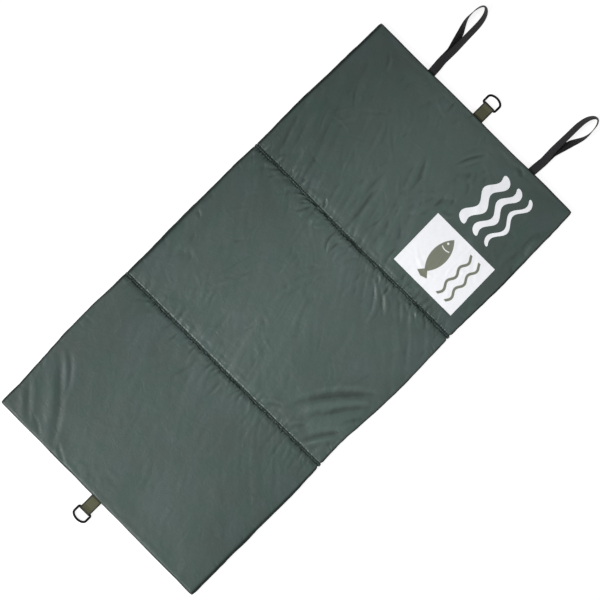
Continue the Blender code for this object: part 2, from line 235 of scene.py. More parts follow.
def makeWebbing(name, values):
    material, tree = newMaterial(name)
    base, deep = toLinear(values["base"]), toLinear(values["deep"])
    # u runs along the strap in metres, v across it from 0 to 1
    uv = addNode(tree, "ShaderNodeUVMap", uv_map="strap").outputs[0]
    parts = addNode(tree, "ShaderNodeSeparateXYZ", {0: uv})
    ribs = addNode(tree, "ShaderNodeTexWave", {
        "Vector": uv, "Scale": bandScale(values["ribSpacing"])}, bands_direction="X")
    # a sine across the width for the strands that run along it, 24 of them
    strands = addNode(tree, "ShaderNodeMath", {0: parts.outputs[1], 1: 150.0}, operation="MULTIPLY")
    strandWave = addNode(tree, "ShaderNodeMath", {0: strands.outputs[0]}, operation="SINE")
    place = addNode(tree, "ShaderNodeTexCoord").outputs["Object"]
    fuzz = addNode(tree, "ShaderNodeTexNoise", {
        "Vector": place, "Scale": perMetre(values["fuzzSize"]), "Detail": 3.0})
    # dark between the ribs, with paler fibres standing out over them
    between = addNode(tree, "ShaderNodeMapRange", {
        "Value": ribs.outputs["Fac"], "From Min": 0.1, "From Max": 0.6, "To Min": 0.55, "To Max": 0.0})
    fibre = addNode(tree, "ShaderNodeMapRange", {
        "Value": fuzz.outputs[0], "From Min": 0.35, "From Max": 0.7, "To Max": 0.35})
    ribbed = addNode(tree, "ShaderNodeMix", {0: between.outputs[0], 6: base, 7: deep}, data_type="RGBA")
    dusty = addNode(tree, "ShaderNodeMix", {
        0: fibre.outputs[0], 6: ribbed.outputs[2], 7: base}, data_type="RGBA")
    # the selvedges are the outer parts of the width
    offCentre = addNode(tree, "ShaderNodeMath", {0: parts.outputs[1], 1: 0.5}, operation="SUBTRACT")
    fromMiddle = addNode(tree, "ShaderNodeMath", {0: offCentre.outputs[0]}, operation="ABSOLUTE")
    side = addNode(tree, "ShaderNodeMapRange", {
        "Value": fromMiddle.outputs[0], "From Min": 0.37, "From Max": 0.42, "To Max": 0.95})
    colour = addNode(tree, "ShaderNodeMix", {
        0: side.outputs[0], 6: dusty.outputs[2], 7: deep}, data_type="RGBA")
    # painted shade where the strap folds or enters a seam
    bent = addNode(tree, "ShaderNodeAttribute", attribute_name="bent")
    shaded = addNode(tree, "ShaderNodeMix", {
        0: bent.outputs["Fac"], 6: colour.outputs[2], 7: deep}, data_type="RGBA")
    relief = addNode(tree, "ShaderNodeMath", {
        0: strandWave.outputs[0], 1: 0.3, 2: ribs.outputs["Fac"]}, operation="MULTIPLY_ADD")
    bump = addNode(tree, "ShaderNodeBump", {
        "Strength": 0.6, "Distance": 0.00015, "Height": relief.outputs[0]})
    fuzzBump = addNode(tree, "ShaderNodeBump", {
        "Strength": 0.3, "Distance": 0.0001, "Height": fuzz.outputs[0], "Normal": bump.outputs[0]})
    shader = addNode(tree, "ShaderNodeBsdfPrincipled", {
        "Base Color": shaded.outputs[2], "Roughness": values["roughness"], "Normal": fuzzBump.outputs[0],
        "IOR": 1.45})
    addNode(tree, "ShaderNodeOutputMaterial", {"Surface": shader.outputs[0]})
    return material


# steel wire, bent and blackened under a dull lacquer: near black, a little greyer where it is rubbed
lacquer = {"black": "#09090a", "worn": "#19191b", "wearSize": 3.0, "roughness": (0.4, 0.6)}


def makeWire(name, values):
    material, tree = newMaterial(name)
    place = addNode(tree, "ShaderNodeTexCoord").outputs["Object"]
    wear = addNode(tree, "ShaderNodeTexNoise", {
        "Vector": place, "Scale": perMetre(values["wearSize"]), "Detail": 5.0})
    share = addNode(tree, "ShaderNodeMapRange", {
        "Value": wear.outputs[0], "From Min": 0.5, "From Max": 0.75, "To Max": 0.5})
    colour = addNode(tree, "ShaderNodeMix", {
        0: share.outputs[0], 6: toLinear(values["black"]), 7: toLinear(values["worn"])}, data_type="RGBA")
    dull = addNode(tree, "ShaderNodeMapRange", {
        "Value": wear.outputs[0], "To Min": values["roughness"][0], "To Max": values["roughness"][1]})
    bump = addNode(tree, "ShaderNodeBump", {"Strength": 0.2, "Distance": 0.00005, "Height": wear.outputs[0]})
    shader = addNode(tree, "ShaderNodeBsdfPrincipled", {
        "Base Color": colour.outputs[2], "Roughness": dull.outputs[0],
        "Specular IOR Level": 0.06, "Normal": bump.outputs[0]})
    addNode(tree, "ShaderNodeOutputMaterial", {"Surface": shader.outputs[0]})
    return material


# bonded polyester sewing thread: two twisted plies, slightly glossy, dark on the folds, pale on the tacks
darkThread = {"low": "#0f1513", "high": "#232e2a", "twist": 0.5}
wornThread = {"low": "#6c7873", "high": "#a3ada8", "twist": 0.5}


def makeThread(name, values):
    material, tree = newMaterial(name)
    place = addNode(tree, "ShaderNodeTexCoord").outputs["Object"]
    twist = addNode(tree, "ShaderNodeTexWave", {
        "Vector": place, "Scale": bandScale(values["twist"])}, bands_direction="DIAGONAL")
    colour = addNode(tree, "ShaderNodeMix", {
        0: twist.outputs["Fac"], 6: toLinear(values["low"]), 7: toLinear(values["high"])}, data_type="RGBA")
    bump = addNode(tree, "ShaderNodeBump", {
        "Strength": 0.5, "Distance": 0.00008, "Height": twist.outputs["Fac"]})
    shader = addNode(tree, "ShaderNodeBsdfPrincipled", {
        "Base Color": colour.outputs[2], "Roughness": 0.5, "Normal": bump.outputs[0]})
    addNode(tree, "ShaderNodeOutputMaterial", {"Surface": shader.outputs[0]})
    return material


# screen-printed plastisol ink: a rubbery white film that the weave shows through
inks = {"white": "#eaebee", "offWhite": "#e1e2e6", "second": "#6d7263", "grainSize": 9}


def makeInk(name, values):
    material, tree = newMaterial(name)
    place = addNode(tree, "ShaderNodeTexCoord").outputs["Object"]
    grain = addNode(tree, "ShaderNodeTexNoise", {
        "Vector": place, "Scale": perMetre(values["grainSize"]), "Detail": 4.0})
    white = addNode(tree, "ShaderNodeMix", {
        0: grain.outputs[0], 6: toLinear(values["white"]), 7: toLinear(values["offWhite"])}, data_type="RGBA")
    second = addNode(tree, "ShaderNodeAttribute", attribute_name="secondInk")
    colour = addNode(tree, "ShaderNodeMix", {
        0: second.outputs["Fac"], 6: white.outputs[2], 7: toLinear(values["second"])}, data_type="RGBA")
    weave = addWeave(tree, place, nylon["threadSpacing"])
    bump = addNode(tree, "ShaderNodeBump", {"Strength": 0.25, "Distance": 0.0001, "Height": weave})
    shader = addNode(tree, "ShaderNodeBsdfPrincipled", {
        "Base Color": colour.outputs[2], "Roughness": 0.5, "Normal": bump.outputs[0]})
    addNode(tree, "ShaderNodeOutputMaterial", {"Surface": shader.outputs[0]})
    return material


coverNylon = makeNylon("coated nylon cover", nylon)
foldNylon = makeNylon("coated nylon gathered in the fold", nylon)
blackWebbing = makeWebbing("black webbing", blackStrap)
oliveWebbing = makeWebbing("olive webbing", oliveStrap)
blackWire = makeWire("blackened steel wire", lacquer)
thread = makeThread("bonded thread", darkThread)
paleThread = makeThread("worn thread", wornThread)
ink = makeInk("screen printed ink", inks)
print("materials made")


# shared shape functions
def softNoise(x, y, cellX, cellY, seed):
    # smooth noise from -1 to 1: the four nearest random lattice values, blended by the smooth step
    count = 64   # the lattice repeats after this many cells
    lattice = np.random.default_rng(seed).uniform(-1, 1, (count, count))
    u, v = x / cellX, y / cellY
    i, j = np.floor(u).astype(int), np.floor(v).astype(int)
    a, b = u - i, v - j
    a, b = a * a * (3 - 2 * a), b * b * (3 - 2 * b)
    k, m = (i + 1) % count, (j + 1) % count
    i, j = i % count, j % count
    low = lattice[i, j] * (1 - b) + lattice[i, m] * b
    high = lattice[k, j] * (1 - b) + lattice[k, m] * b
    return low * (1 - a) + high * a


def smooth(value):
    # the smooth step: 3 v squared - 2 v cubed, held between 0 and 1
    value = np.clip(value, 0, 1)
    return value * value * (3 - 2 * value)


def cubic(before, start, end, after, t):
    # the cubic from start to end whose slopes at both are half the difference of their neighbours
    return start + t / 2 * ((end - before) + t * (
        (2 * before - 5 * start + 4 * end - after) + t * (3 * start - before - 3 * end + after)))


def throughValues(place, low, high, values):
    # a smooth curve through values set evenly from low to high
    values = np.asarray(values, float)
    last = len(values) - 1
    share = np.clip((place - low) / (high - low), 0, 1) * last
    k = np.clip(share.astype(int), 0, last - 1)
    before, after = values[np.maximum(k - 1, 0)], values[np.minimum(k + 2, last)]
    return cubic(before, values[k], values[k + 1], after, share - k)


def newObject(name, points, faces, material, smoothShade=True):
    mesh = bpy.data.meshes.new(name)
    mesh.from_pydata(points.reshape(-1, 3).tolist(), [], faces.tolist())
    mesh.materials.append(material)
    if smoothShade:
        mesh.shade_smooth()
    piece = bpy.data.objects.new(name, mesh)
    bpy.context.scene.collection.objects.link(piece)
    return piece


def gridFaces(rows, columns, closeRows=False, closeColumns=False):
    # each face joins point (i, j) with the next row and column, wrapping where a way is closed
    i, j = np.meshgrid(
        np.arange(rows if closeRows else rows - 1),
        np.arange(columns if closeColumns else columns - 1), indexing="ij")
    k, m = (i + 1) % rows, (j + 1) % columns
    corners = [i * columns + j, k * columns + j, k * columns + m, i * columns + m]
    return np.stack(corners, -1).reshape(-1, 4)


def addAttribute(piece, name, values):
    attribute = piece.data.attributes.new(name, "FLOAT", "POINT")
    attribute.data.foreach_set("value", np.asarray(values, np.float32).ravel())


def addAll(parts):
    # the sum of arrays, in their order
    total = 0
    for part in parts:
        total = total + part
    return total


def alongNoise(y, cell, seed):
    # noise along one line only
    return softNoise(y, y * 0, cell, 1.0, seed)


# padded panels: low is a panel's tail end, high its head end, and an end is either a hem or sewn into a fold
panelShape = {
    "rim": 0.0065, "edgeHeight": 0.0128, "crown": 0.0022, "flange": 0.0012, "flangeHalf": 0.0005,
    "flangeRoundShare": 0.4, "outerRadius": 0.0055, "uneven": (0.22, 0.013),
    "edgeStep": 0.0004, "nearStep": 0.0014, "midStepAlong": 0.003, "midStepAcross": 0.0014,
    "nearFrom": (0.006, 0.006), "midFrom": (0.025, 0.04),   # the step grows from here, over this much
    "cornerPull": 0.0014, "cornerReach": 0.009, "notches": (0.0022, 0.0006),   # right side, left side
    "strapLift": 0.0017, "strapReach": 0.007, "strapEdge": 0.0016, "strapNear": 0.003, "strapRoot": 0.0008,
    "tickReaches": (0.0032, 0.00448), "tickSink": 0.0009, "tickShade": 0.5, "steepReach": 0.0016,
    "flatFrom": 0.0153, "flatOver": 0.0007, "reliefPower": 0.6, "thinnest": 0.0003, "underMost": 0.0025,
    "underReliefShare": 0.7, "underLiftShare": 0.9, "liftedShare": 0.6,
    "ripples": ((0.0007, 0.05, 7), (0.00025, 0.012, 8)), "rippleShare": 0.8, "rippleReach": 0.004,
    "sways": ((0.0005, 0.04, 3), (0.0003, 0.011, 4)), "endSway": (0.0004, 0.03), "endPullShare": 0.6,
    "intoSeam": 0.0010, "ragged": (1.3, 0.0038), "evenShares": (0.1, 0.25),
    "apart": 0.001, "apartFrom": (0.17, 0.04),   # the fold to the head opens a little towards both ends
    "seamDark": 0.0017, "creaseBlur": 30, "creaseHeight": 0.0009, "creaseReach": 0.003, "fill": 0.7,
    "seamFloor": 0.42,   # how much of the upper cover's rise is left where it enters a fold
}
# loose is how slack its cloth lies, seen how strongly it shows the photo's folds; pairs: low end, high end
panels = [
    {"name": "Head", "seed": 11, "seams": (True, False), "radii": (0.0026, 0.0040), "steep": 0.0,
     "loose": 1.7, "seen": 2.7, "gathers": (3.0, 0.0), "pinches": (0.6, 0.0),
     "seamShades": (0.22, 0.0), "lipShade": 0.0015},
    {"name": "Middle", "seed": 12, "seams": (True, True), "radii": (0.0034, 0.0105), "steep": 0.1,
     "loose": 1.3, "seen": 1.5, "gathers": (0.6, 1.5), "pinches": (0.15, 0.8),
     "seamShades": (0.2, 0.1), "lipShade": 0.0010},
    {"name": "Tail", "seed": 13, "seams": (False, True), "radii": (0.0045, 0.0125), "steep": 0.04,
     "loose": 0.75, "seen": 0.65, "gathers": (0.0, 0.7), "pinches": (0.0, 0.9),
     "seamShades": (0.0, 0.12), "lipShade": 0.0013},
]
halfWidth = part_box("top_cover_middle")[1].y
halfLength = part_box("top_cover_head")[1].x
handleWidth, tabWidth = 0.017, 0.0242
strapPlaces = [
    (joints["handle_left_swing"]["pos_m"], handleWidth), (joints["handle_right_swing"]["pos_m"], handleWidth),
    (joints["head_tab_swing"]["pos_m"], tabWidth), (joints["tail_tab_swing"]["pos_m"], tabWidth),
]

# how far the photo shows each side beyond its straight line (mm): the long ones every 50 mm from tail to
# head, the ends every 50 mm from the right side to the left; an end's offset fades out over endReach
outline = {
    "left": (0.9, 1.0, 3.6, 6.4, 7.7, 7.7, 5.9, 5.4, 5.4, 5.7, 5.7, 5.4, 5.1, 4.0, 2.4, 3.2, 3.1, 1.9, 0.7,
             -0.7, -1.2),
    "right": (-1.5, -1.6, -1.9, -1.9, -1.9, -1.9, -2.6, -5.0, -6.1, -2.8, -0.6, 0.6, 0.0, -1.9, -2.6, -1.2,
              -0.2, -0.6, -1.8, -2.2, -4.3),
    "head": (1.6, 2.5, 2.4, 1.2, 1.4, 1.6, 1.5, 1.2, 0.6, 0.7, 0.9),
    "tail": (3.0, 2.7, 2.3, 1.6, 1.4, 1.1, 0.8, 0.3, -0.1, -0.5, -0.8),
    "endReach": 0.06,
}


def sideShift(x, y):
    # the sides' offsets, taken inwards with the fourth power of the distance from the middle line
    left, right = (throughValues(x, -halfLength, halfLength, outline[side]) for side in ("left", "right"))
    return np.where(y > 0, left, -right) * mm * np.minimum(np.abs(y) / halfWidth, 1) ** 4


def endShift(x, y):
    # the same for the two ends, with the square of the way through the end's reach
    head, tail = (throughValues(y, -halfWidth, halfWidth, outline[end]) for end in ("head", "tail"))
    near = np.clip((np.abs(x) - halfLength) / outline["endReach"] + 1, 0, 1) ** 2
    return np.where(x > 0, head, -tail) * mm * near


# how far the photo shows each fold beyond its straight line (mm), every 60 mm from the right side to the
# left, then its small strays: size, cell and seed
foldLine = {
    "head": (-0.8, 0.3, -0.2, -1.0, -2.0, -1.0, 0.1, 0.9, -0.2),
    "tail": (0.3, 0.0, -0.3, -1.0, -1.6, -1.1, -0.7, -0.4, -0.2),
    "reach": 0.24, "strays": ((0.0004, 0.022, 200), (0.0002, 0.007, 210)),
}


def seamWander(y, toHead):
    # a fold is sewn by hand-held cloth, so its line strays a little, the same for what meets there
    bow = throughValues(y, -foldLine["reach"], foldLine["reach"], foldLine["head" if toHead else "tail"]) * mm
    strays = [size * alongNoise(y, cell, seed + toHead) for size, cell, seed in foldLine["strays"]]
    return addAll([bow] + strays)


# painted shade along the hems, set by this table
# how much darker the photo shows the hems, as the share of the tone lost, and how far that reaches in (mm):
# on the long sides from tail to head, on the ends from the right side to the left
hemTone = {
    "sidePlaces": (-0.455, -0.36, -0.235, -0.1, 0.005, 0.112, 0.242, 0.36, 0.455),
    "left": ((0.8, 0.76, 0.62, 0.58, 0.48, 0.56, 0.76, 0.78, 0.8),
             (2.7, 2.3, 1.9, 5.6, 5.2, 3.5, 3.4, 4.5, 4.6)),
    "right": ((0.6, 0.48, 0.55, 0.76, 0.68, 0.75, 0.95, 1.0, 0.92),
              (5.6, 5.6, 4.3, 2.1, 2.0, 1.9, 2.2, 2.6, 2.4)),
    "endPlaces": (-0.2, -0.12, -0.05, 0.05, 0.1, 0.19),
    "head": ((0.7, 0.78, 0.7, 0.68, 0.8, 0.95), (2.0, 1.9, 1.7, 1.7, 1.9, 2.0)),
    "tail": ((0.72, 0.5, 0.48, 0.55, 0.55, 0.4), (1.9, 1.7, 1.7, 2.3, 2.3, 1.6)),
    "root": 2.2, "deepest": 0.9,
}


def darkShare(lost):
    # the share of the painted shade colour that takes a given share from the tone: tone goes with the 2.2nd
    # root of light
    return (1 - (1 - np.clip(lost, 0, 1)) ** hemTone["root"]) / hemTone["deepest"]


def hemDark(x, y, toSide, toHead, toTail):
    # painted shade: on each side the lost tone falls off as a bell of the distance from its edge; the darkest
    # side counts, and a side is put a metre further away for the half of the mat beyond the middle line
    dark = np.zeros_like(x)
    for side, near, places, along in (
            ("left", toSide + (y < 0), "sidePlaces", x), ("right", toSide + (y > 0), "sidePlaces", x),
            ("head", toHead, "endPlaces", y), ("tail", toTail, "endPlaces", y)):
        share, reach = (np.interp(along, hemTone[places], part) for part in hemTone[side])
        dark = np.maximum(dark, darkShare(share * np.exp(-(near / (reach * mm)) ** 2)))
    return dark


# folds seen in the photo: start column and row, end column and row, bow, half width (pixels), height (mm)
photoFolds = [
    # left corner of the tail panel
    (29.5, 372, 28, 420, -1, 2.6, -1.1), (22, 388, 20, 420, 0, 2.6, 0.6), (51, 366, 44, 444, 1.5, 4.6, 1.2),
    (57, 346, 51, 448, 4, 3.0, -1.2), (62, 345, 64, 392, 3, 1.9, 0.7), (69.5, 346, 61, 406, 3, 2.4, -0.7),
    (42.5, 359, 41, 368, 0, 1.4, -0.7), (58.5, 442, 65, 463, -2, 1.8, -0.8), (32, 412, 39, 435, 1, 1.7, -0.6),
    (78, 344, 72, 404, 2, 4.2, 0.35), (74, 462, 82, 480, 1, 3.0, -0.5), (88, 470, 96, 478, 0, 2.6, -0.45),
    (36, 352, 33, 376, 1, 2.0, -0.4), (104, 470, 118, 486, -1, 2.4, -0.4),
    # right end of the middle panel
    (284, 407, 380, 394.5, 7, 3.0, -1.1), (289, 415.5, 372, 402.5, 4, 3.8, 1.6),
    (324, 414, 374, 406.5, 3, 2.4, -0.7), (340, 423.5, 366, 418, 1, 2.0, -0.6),
    (300, 441, 347, 431.5, 3, 2.6, -0.8), (302, 445, 338, 437, 1, 2.6, 1.3),
    (260, 402.5, 283, 405, 1, 1.8, -0.6), (284, 428, 308, 424.5, 1, 1.8, -0.6),
    (276, 421, 330, 414, -2, 4.4, 0.6), (350, 384, 384, 372, 2, 4.0, -0.4),
    (392, 352, 410, 330, 1, 4.0, 0.4),
    # fold to the tail: gathers on the tail panel
    (160, 311, 143, 313.5, 1, 1.6, 0.5), (160, 308, 163.5, 313, 0, 0.9, -0.8),
    (172, 324, 155, 330, 1, 1.6, -0.6), (179.5, 331.5, 168, 341, 0, 1.0, -1.2),
    (193, 344, 138, 359.5, 3, 3.2, 0.7), (195, 361, 174, 374, 1, 1.8, -0.6),
    (205, 353, 172, 376, 2, 2.2, -0.6), (207, 365, 186, 384, 1, 2.4, 0.5),
    (222, 378, 205, 396, 1, 1.6, -0.8), (225, 381, 211, 394, 0, 1.6, 0.7),
    (238, 391, 222, 414, 1, 2.2, -0.5), (260.6, 407, 243, 440, 2, 2.2, 0.8),
    (252, 408, 238, 426, 1, 1.6, -0.7), (208, 420, 194, 438, 0, 2.4, 0.35),
    (278, 425, 262, 446, 1, 1.8, -0.9), (286, 433, 268, 458, 1, 1.8, -0.9),
    (294, 441, 281, 463, 0, 1.6, 0.6), (301, 448, 286, 470, 1, 1.8, -0.9),
    (309, 456, 297, 474, 0, 1.6, -0.8), (146, 296, 130, 300, 0, 1.4, -0.4),
    (238, 392, 232, 400, 0, 1.2, 0.5),
    # fold to the head: gathers on the middle panel
    (311, 202, 299, 202, 0, 1.0, -0.8), (312, 204.5, 294, 210.5, 1, 1.3, -0.7),
    (330, 221, 312, 226, 2, 1.6, 0.5), (341, 230, 325.5, 253, -6, 1.4, -0.8),
    (347, 241, 327.5, 255, -4, 1.4, -0.7), (352, 247, 333, 262, -4, 1.6, 0.5),
    (360, 258, 342, 266, -3, 1.8, -0.5), (378.5, 275, 376.5, 283, 0, 1.2, -0.8),
    (391, 283, 383, 294, 0, 1.2, -1.2), (395, 283, 393.5, 288, 0, 1.0, -0.8),
    (410, 301, 410, 305, 0, 1.3, -0.8), (374.5, 280, 365, 324, 6, 1.9, 0.7),
    (384, 292, 385, 316, 1, 1.7, 0.7), (404, 300, 409, 313, 1, 1.7, 0.6),
    (415, 305, 416.5, 319, 0, 1.7, 0.7), (398, 297, 398, 326, 1, 1.8, -0.5),
    (366, 268, 352, 292, -3, 1.8, -0.4), (424, 314, 424, 330, 0, 1.8, -0.5),
    (280, 172, 266, 176, 1, 1.2, -0.5), (292, 184, 276, 192, 1, 1.4, 0.4),
    # long low ridges and dents in the middle panel
    (337, 269, 268, 307, -7, 2.2, 0.5), (359, 277.5, 342, 296, 1, 2.0, 0.5),
    (295, 253, 281, 267, 1, 1.8, 0.45), (301, 253.5, 280, 272, 2, 1.8, 0.4),
    (206, 287.5, 239, 279.5, 1, 1.8, 0.4), (196, 208, 199, 218, 1, 1.2, -0.6),
    (200.5, 203, 214, 192.5, 0, 1.5, -0.5), (194.5, 231, 188, 243, 1, 1.4, -0.35),
    (174, 250, 196, 262, 2, 3.6, -0.25), (330, 290, 300, 318, -4, 3.4, -0.35),
    (262, 314, 240, 344, 3, 3.6, 0.35), (222, 250, 244, 238, 1, 2.6, -0.3),
    (310, 330, 286, 352, 2, 3.2, 0.3), (228, 312, 214, 330, 1, 2.0, -0.35),
    (350, 330, 330, 356, 2, 3.0, -0.3),
    # head panel: short crests at its fold, then long faint ridges and the creases by the print and the ring
    (263, 151, 271, 143, 0, 1.3, 0.6), (277, 162, 284, 154, 0, 1.3, 0.6),
    (293.5, 178.5, 301, 169, 1, 1.4, 0.6), (303.5, 184, 309, 177, 0, 1.2, 0.5),
    (323, 207, 326, 198, 0, 1.2, -0.8), (341, 218, 394, 160, 5, 2.4, 0.45),
    (350, 226, 384, 184, 3, 2.2, -0.35), (330, 206, 352, 176, 2, 2.2, 0.35),
    (366, 244, 402, 204, 3, 3.0, 0.3), (426, 207, 456, 201, 3, 3.2, -0.42),
    (407, 213, 442, 195.5, -2, 2.2, 0.4), (382, 266, 395, 247, 1, 2.2, -0.6),
    (410, 294, 422, 290, 0, 3.0, -0.35), (408, 194, 428, 149, -2, 2.8, -0.4),
    (404, 190, 422, 158, -2, 2.4, 0.35), (455, 164, 486, 154, 1, 1.5, -0.4),
    (458, 166.5, 481, 158, 1, 1.6, 0.3), (438, 191, 470, 172, 2, 3.6, -0.35),
    (438.5, 208, 456.5, 214, -6, 1.5, 0.4), (466, 178, 464, 196, 3, 2.0, -0.3),
    (474, 172, 467, 182, 1, 1.5, 0.3), (517.5, 166, 522, 178, 0, 2.0, -0.5),
    (386, 119, 367, 157, 2, 1.8, 0.3), (514, 288, 547, 233, 6, 4.2, 1.0),
    (522, 292, 552, 246, 6, 3.0, -0.5), (500, 268, 520, 250, 1, 2.4, -0.3),
    (526, 262, 536, 236, 2, 2.4, 0.4), (300, 140, 330, 104, 4, 4.0, 0.25),
    (352, 90, 372, 58, 2, 4.0, -0.25), (420, 108, 446, 96, 1, 3.0, -0.3), (439, 78, 452, 90, 0, 1.8, -0.45),
    (446, 112, 456, 100, 0, 1.6, -0.4), (468, 118, 476, 110, 0, 1.6, -0.4),
    # tail panel: dents at its free end and slow folds in its middle
    (250, 529, 263, 533, 0, 2.4, -0.5), (214, 515, 221, 546, 2, 2.6, 0.35),
    (176, 582, 190, 560, 1, 3.0, 0.35), (120, 400, 160, 372, 4, 4.0, 0.3),
    (140, 440, 172, 416, 2, 3.4, -0.25), (226, 470, 250, 440, 2, 3.0, 0.3),
]


def stations(low, high, values, midStep):
    # places along a side: the step grows from edgeStep at the rims over nearStep to midStep, so the
    # stations are where the running sum of one over the step passes whole numbers
    fine = np.linspace(low, high, 6001)   # closer together than the smallest step
    toRim = np.minimum(fine - low, high - fine)
    (nearStart, nearOver), (midStart, midOver) = values["nearFrom"], values["midFrom"]
    edgeStep, nearStep = values["edgeStep"], values["nearStep"]
    step = edgeStep + (nearStep - edgeStep) * smooth((toRim - nearStart) / nearOver)
    step += (midStep - nearStep) * smooth((toRim - midStart) / midOver)
    total = np.concatenate([[0], np.cumsum(np.diff(fine) / step[:-1])])
    count = int(round(total[-1]))
    return np.interp(np.linspace(0, total[-1], count + 1), total, fine)


def riseOf(distance, flange, radius):
    # nothing on the flange, then a quarter of an ellipse up to one
    share = np.clip((distance - flange) / radius, 0, 1)
    return np.sqrt(np.maximum(1 - (1 - share) ** 2, 0))


def valleyOf(distance, radius, steep, steepReach):
    # the cover falls slowly into a fold that it shades: one less the cube of the distance left, and less a
    # steep last part that falls with the square
    slow = np.clip(1 - distance / radius, 0, 1) ** 3
    return 1 - (1 - steep) * slow - steep * np.clip(1 - distance / steepReach, 0, 1) ** 2


# a fold in the cloth, in shares of its half width and of its length
foldProfile = {
    "marginShare": 4, "dip": 0.38, "dipPlaceShare": 1.9, "dipWidthShare": 0.9, "fadePower": 0.8,
    "spreadShares": (0.8, 0.4), "seamFadePower": 1.4, "seamStartShare": 0.3, "seamSpreadShares": (0.7, 1.3),
}


def addFold(relief, xs, ys, start, end, bow, width, height, fromSeam=False):
    # across the fold the height is a bell of the distance from a bowed line, less two shallow bells beside
    # it; along it the height fades towards both ends, or from the seam inwards
    values = foldProfile
    margin = values["marginShare"] * width + abs(bow)
    i0, i1 = np.searchsorted(xs, [min(start[0], end[0]) - margin, max(start[0], end[0]) + margin])
    j0, j1 = np.searchsorted(ys, [min(start[1], end[1]) - margin, max(start[1], end[1]) + margin])
    if i1 <= i0 or j1 <= j0:
        return
    x, y = np.meshgrid(xs[i0:i1], ys[j0:j1], indexing="ij")
    wayX, wayY = end[0] - start[0], end[1] - start[1]
    length = math.hypot(wayX, wayY)
    along = ((x - start[0]) * wayX + (y - start[1]) * wayY) / length ** 2
    side = ((y - start[1]) * wayX - (x - start[0]) * wayY) / length - 4 * bow * along * (1 - along)
    inside = np.clip(along, 0, 1)
    if fromSeam:
        begin = smooth((along + values["seamStartShare"]) / values["seamStartShare"])
        fade = (1 - inside) ** values["seamFadePower"] * begin * (along < 1)
        least, more = values["seamSpreadShares"]
        spread = width * (least + more * inside)
    else:
        fade = np.sin(math.pi * inside) ** values["fadePower"]
        least, more = values["spreadShares"]
        spread = width * (least + more * np.sin(math.pi * inside))
    q = side / spread
    dips = np.exp(-((np.abs(q) - values["dipPlaceShare"]) / values["dipWidthShare"]) ** 2)
    relief[i0:i1, j0:j1] += height * fade * (np.exp(-q * q) - values["dip"] * dips)


def busyAt(place, middle, swing, cell, seed):
    # how busy a fold is at a place along it: noise in smooth steps from 0, calm, to 1
    return float(smooth(middle + swing * alongNoise(np.float64(place), cell, seed)))


# the gathers differ on the four sides that meet a fold, and softer and longer ones lie under them
commonPleats = {
    "reach": 0.249, "leanLimit": 0.45, "leanSpread": 11, "bowSpread": 0.07, "start": 0.0008, "raised": 0.8,
    "bigWidth": 1.4, "bigDepth": 1.3, "busy": (0.55, 0.8, 0.045), "bigBusy": 0.4, "depthBusy": (0.3, 0.9),
}
pleats = {
    "headLow": {
        "spacing": (0.003, 0.0085), "lean": 9, "leanGrowth": 22, "bowShare": 0.0,
        "length": (0.005, 0.013), "bigLength": (0.02, 0.06), "bigShare": 0.16, "sunkShare": 0.6,
        "width": (0.0010, 0.0018), "depth": (0.00025, 0.00065),
    },
    "middleHigh": {
        "spacing": (0.003, 0.007), "lean": -6, "leanGrowth": 95, "bowShare": -0.12,
        "length": (0.005, 0.013), "bigLength": (0.018, 0.045), "bigShare": 0.3, "sunkShare": 0.6,
        "width": (0.0012, 0.0022), "depth": (0.0003, 0.0008),
    },
    "middleLow": {
        "spacing": (0.012, 0.03), "lean": 0, "leanGrowth": 12, "bowShare": 0.0,
        "length": (0.003, 0.009), "bigLength": (0.015, 0.04), "bigShare": 0.08, "sunkShare": 0.65,
        "width": (0.0010, 0.0016), "depth": (0.00012, 0.0003),
    },
    "tailHigh": {
        "spacing": (0.0026, 0.0068), "lean": -8, "leanGrowth": 85, "bowShare": -0.05,
        "length": (0.006, 0.016), "bigLength": (0.02, 0.055), "bigShare": 0.28, "sunkShare": 0.62,
        "width": (0.0013, 0.0025), "depth": (0.00025, 0.0008),
    },
}
softPleats = {
    "spacing": (0.008, 0.02), "length": (0.025, 0.06), "bigLength": (0.05, 0.11), "bigShare": 0.3,
    "sunkShare": 0.5, "width": (0.0028, 0.0048), "depth": (0.0002, 0.0006),
}


def seamPleats(relief, xs, ys, seamX, way, seed, values):
    # gathers along a sewn fold: short creases that fan out from it, in calm and busy stretches
    rng = np.random.default_rng(seed)
    y = -values["reach"]
    while y < values["reach"]:
        y += rng.uniform(*values["spacing"])
        busy = busyAt(y, *values["busy"], seed)
        along = float(np.clip(y / values["reach"], -values["leanLimit"], values["leanLimit"]))
        lean = math.radians(rng.normal(values["lean"] + values["leanGrowth"] * along, values["leanSpread"]))
        big = rng.random() < values["bigShare"] * (values["bigBusy"] + busy)
        length = rng.uniform(*values["bigLength"]) if big else rng.uniform(*values["length"])
        width = rng.uniform(*values["width"]) * (values["bigWidth"] if big else 1.0)
        least, more = values["depthBusy"]
        depth = rng.uniform(*values["depth"]) * (values["bigDepth"] if big else 1.0) * (least + more * busy)
        sign = -1 if rng.random() < values["sunkShare"] else values["raised"]
        start = (seamX + way * values["start"], y)
        end = (seamX + way * length * math.cos(lean), y + length * math.sin(lean))
        bow = rng.normal(values["bowShare"], values["bowSpread"]) * length
        addFold(relief, xs, ys, start, end, bow, width, sign * depth, True)


# gathers that run out of a fold, fine, wide and broad: height, cells along and across, reach, seed
streakSizes = [
    (0.00026, 0.03, 0.0034, 0.045, 0), (0.0005, 0.06, 0.0075, 0.09, 1), (0.0008, 0.09, 0.016, 0.15, 3),
]
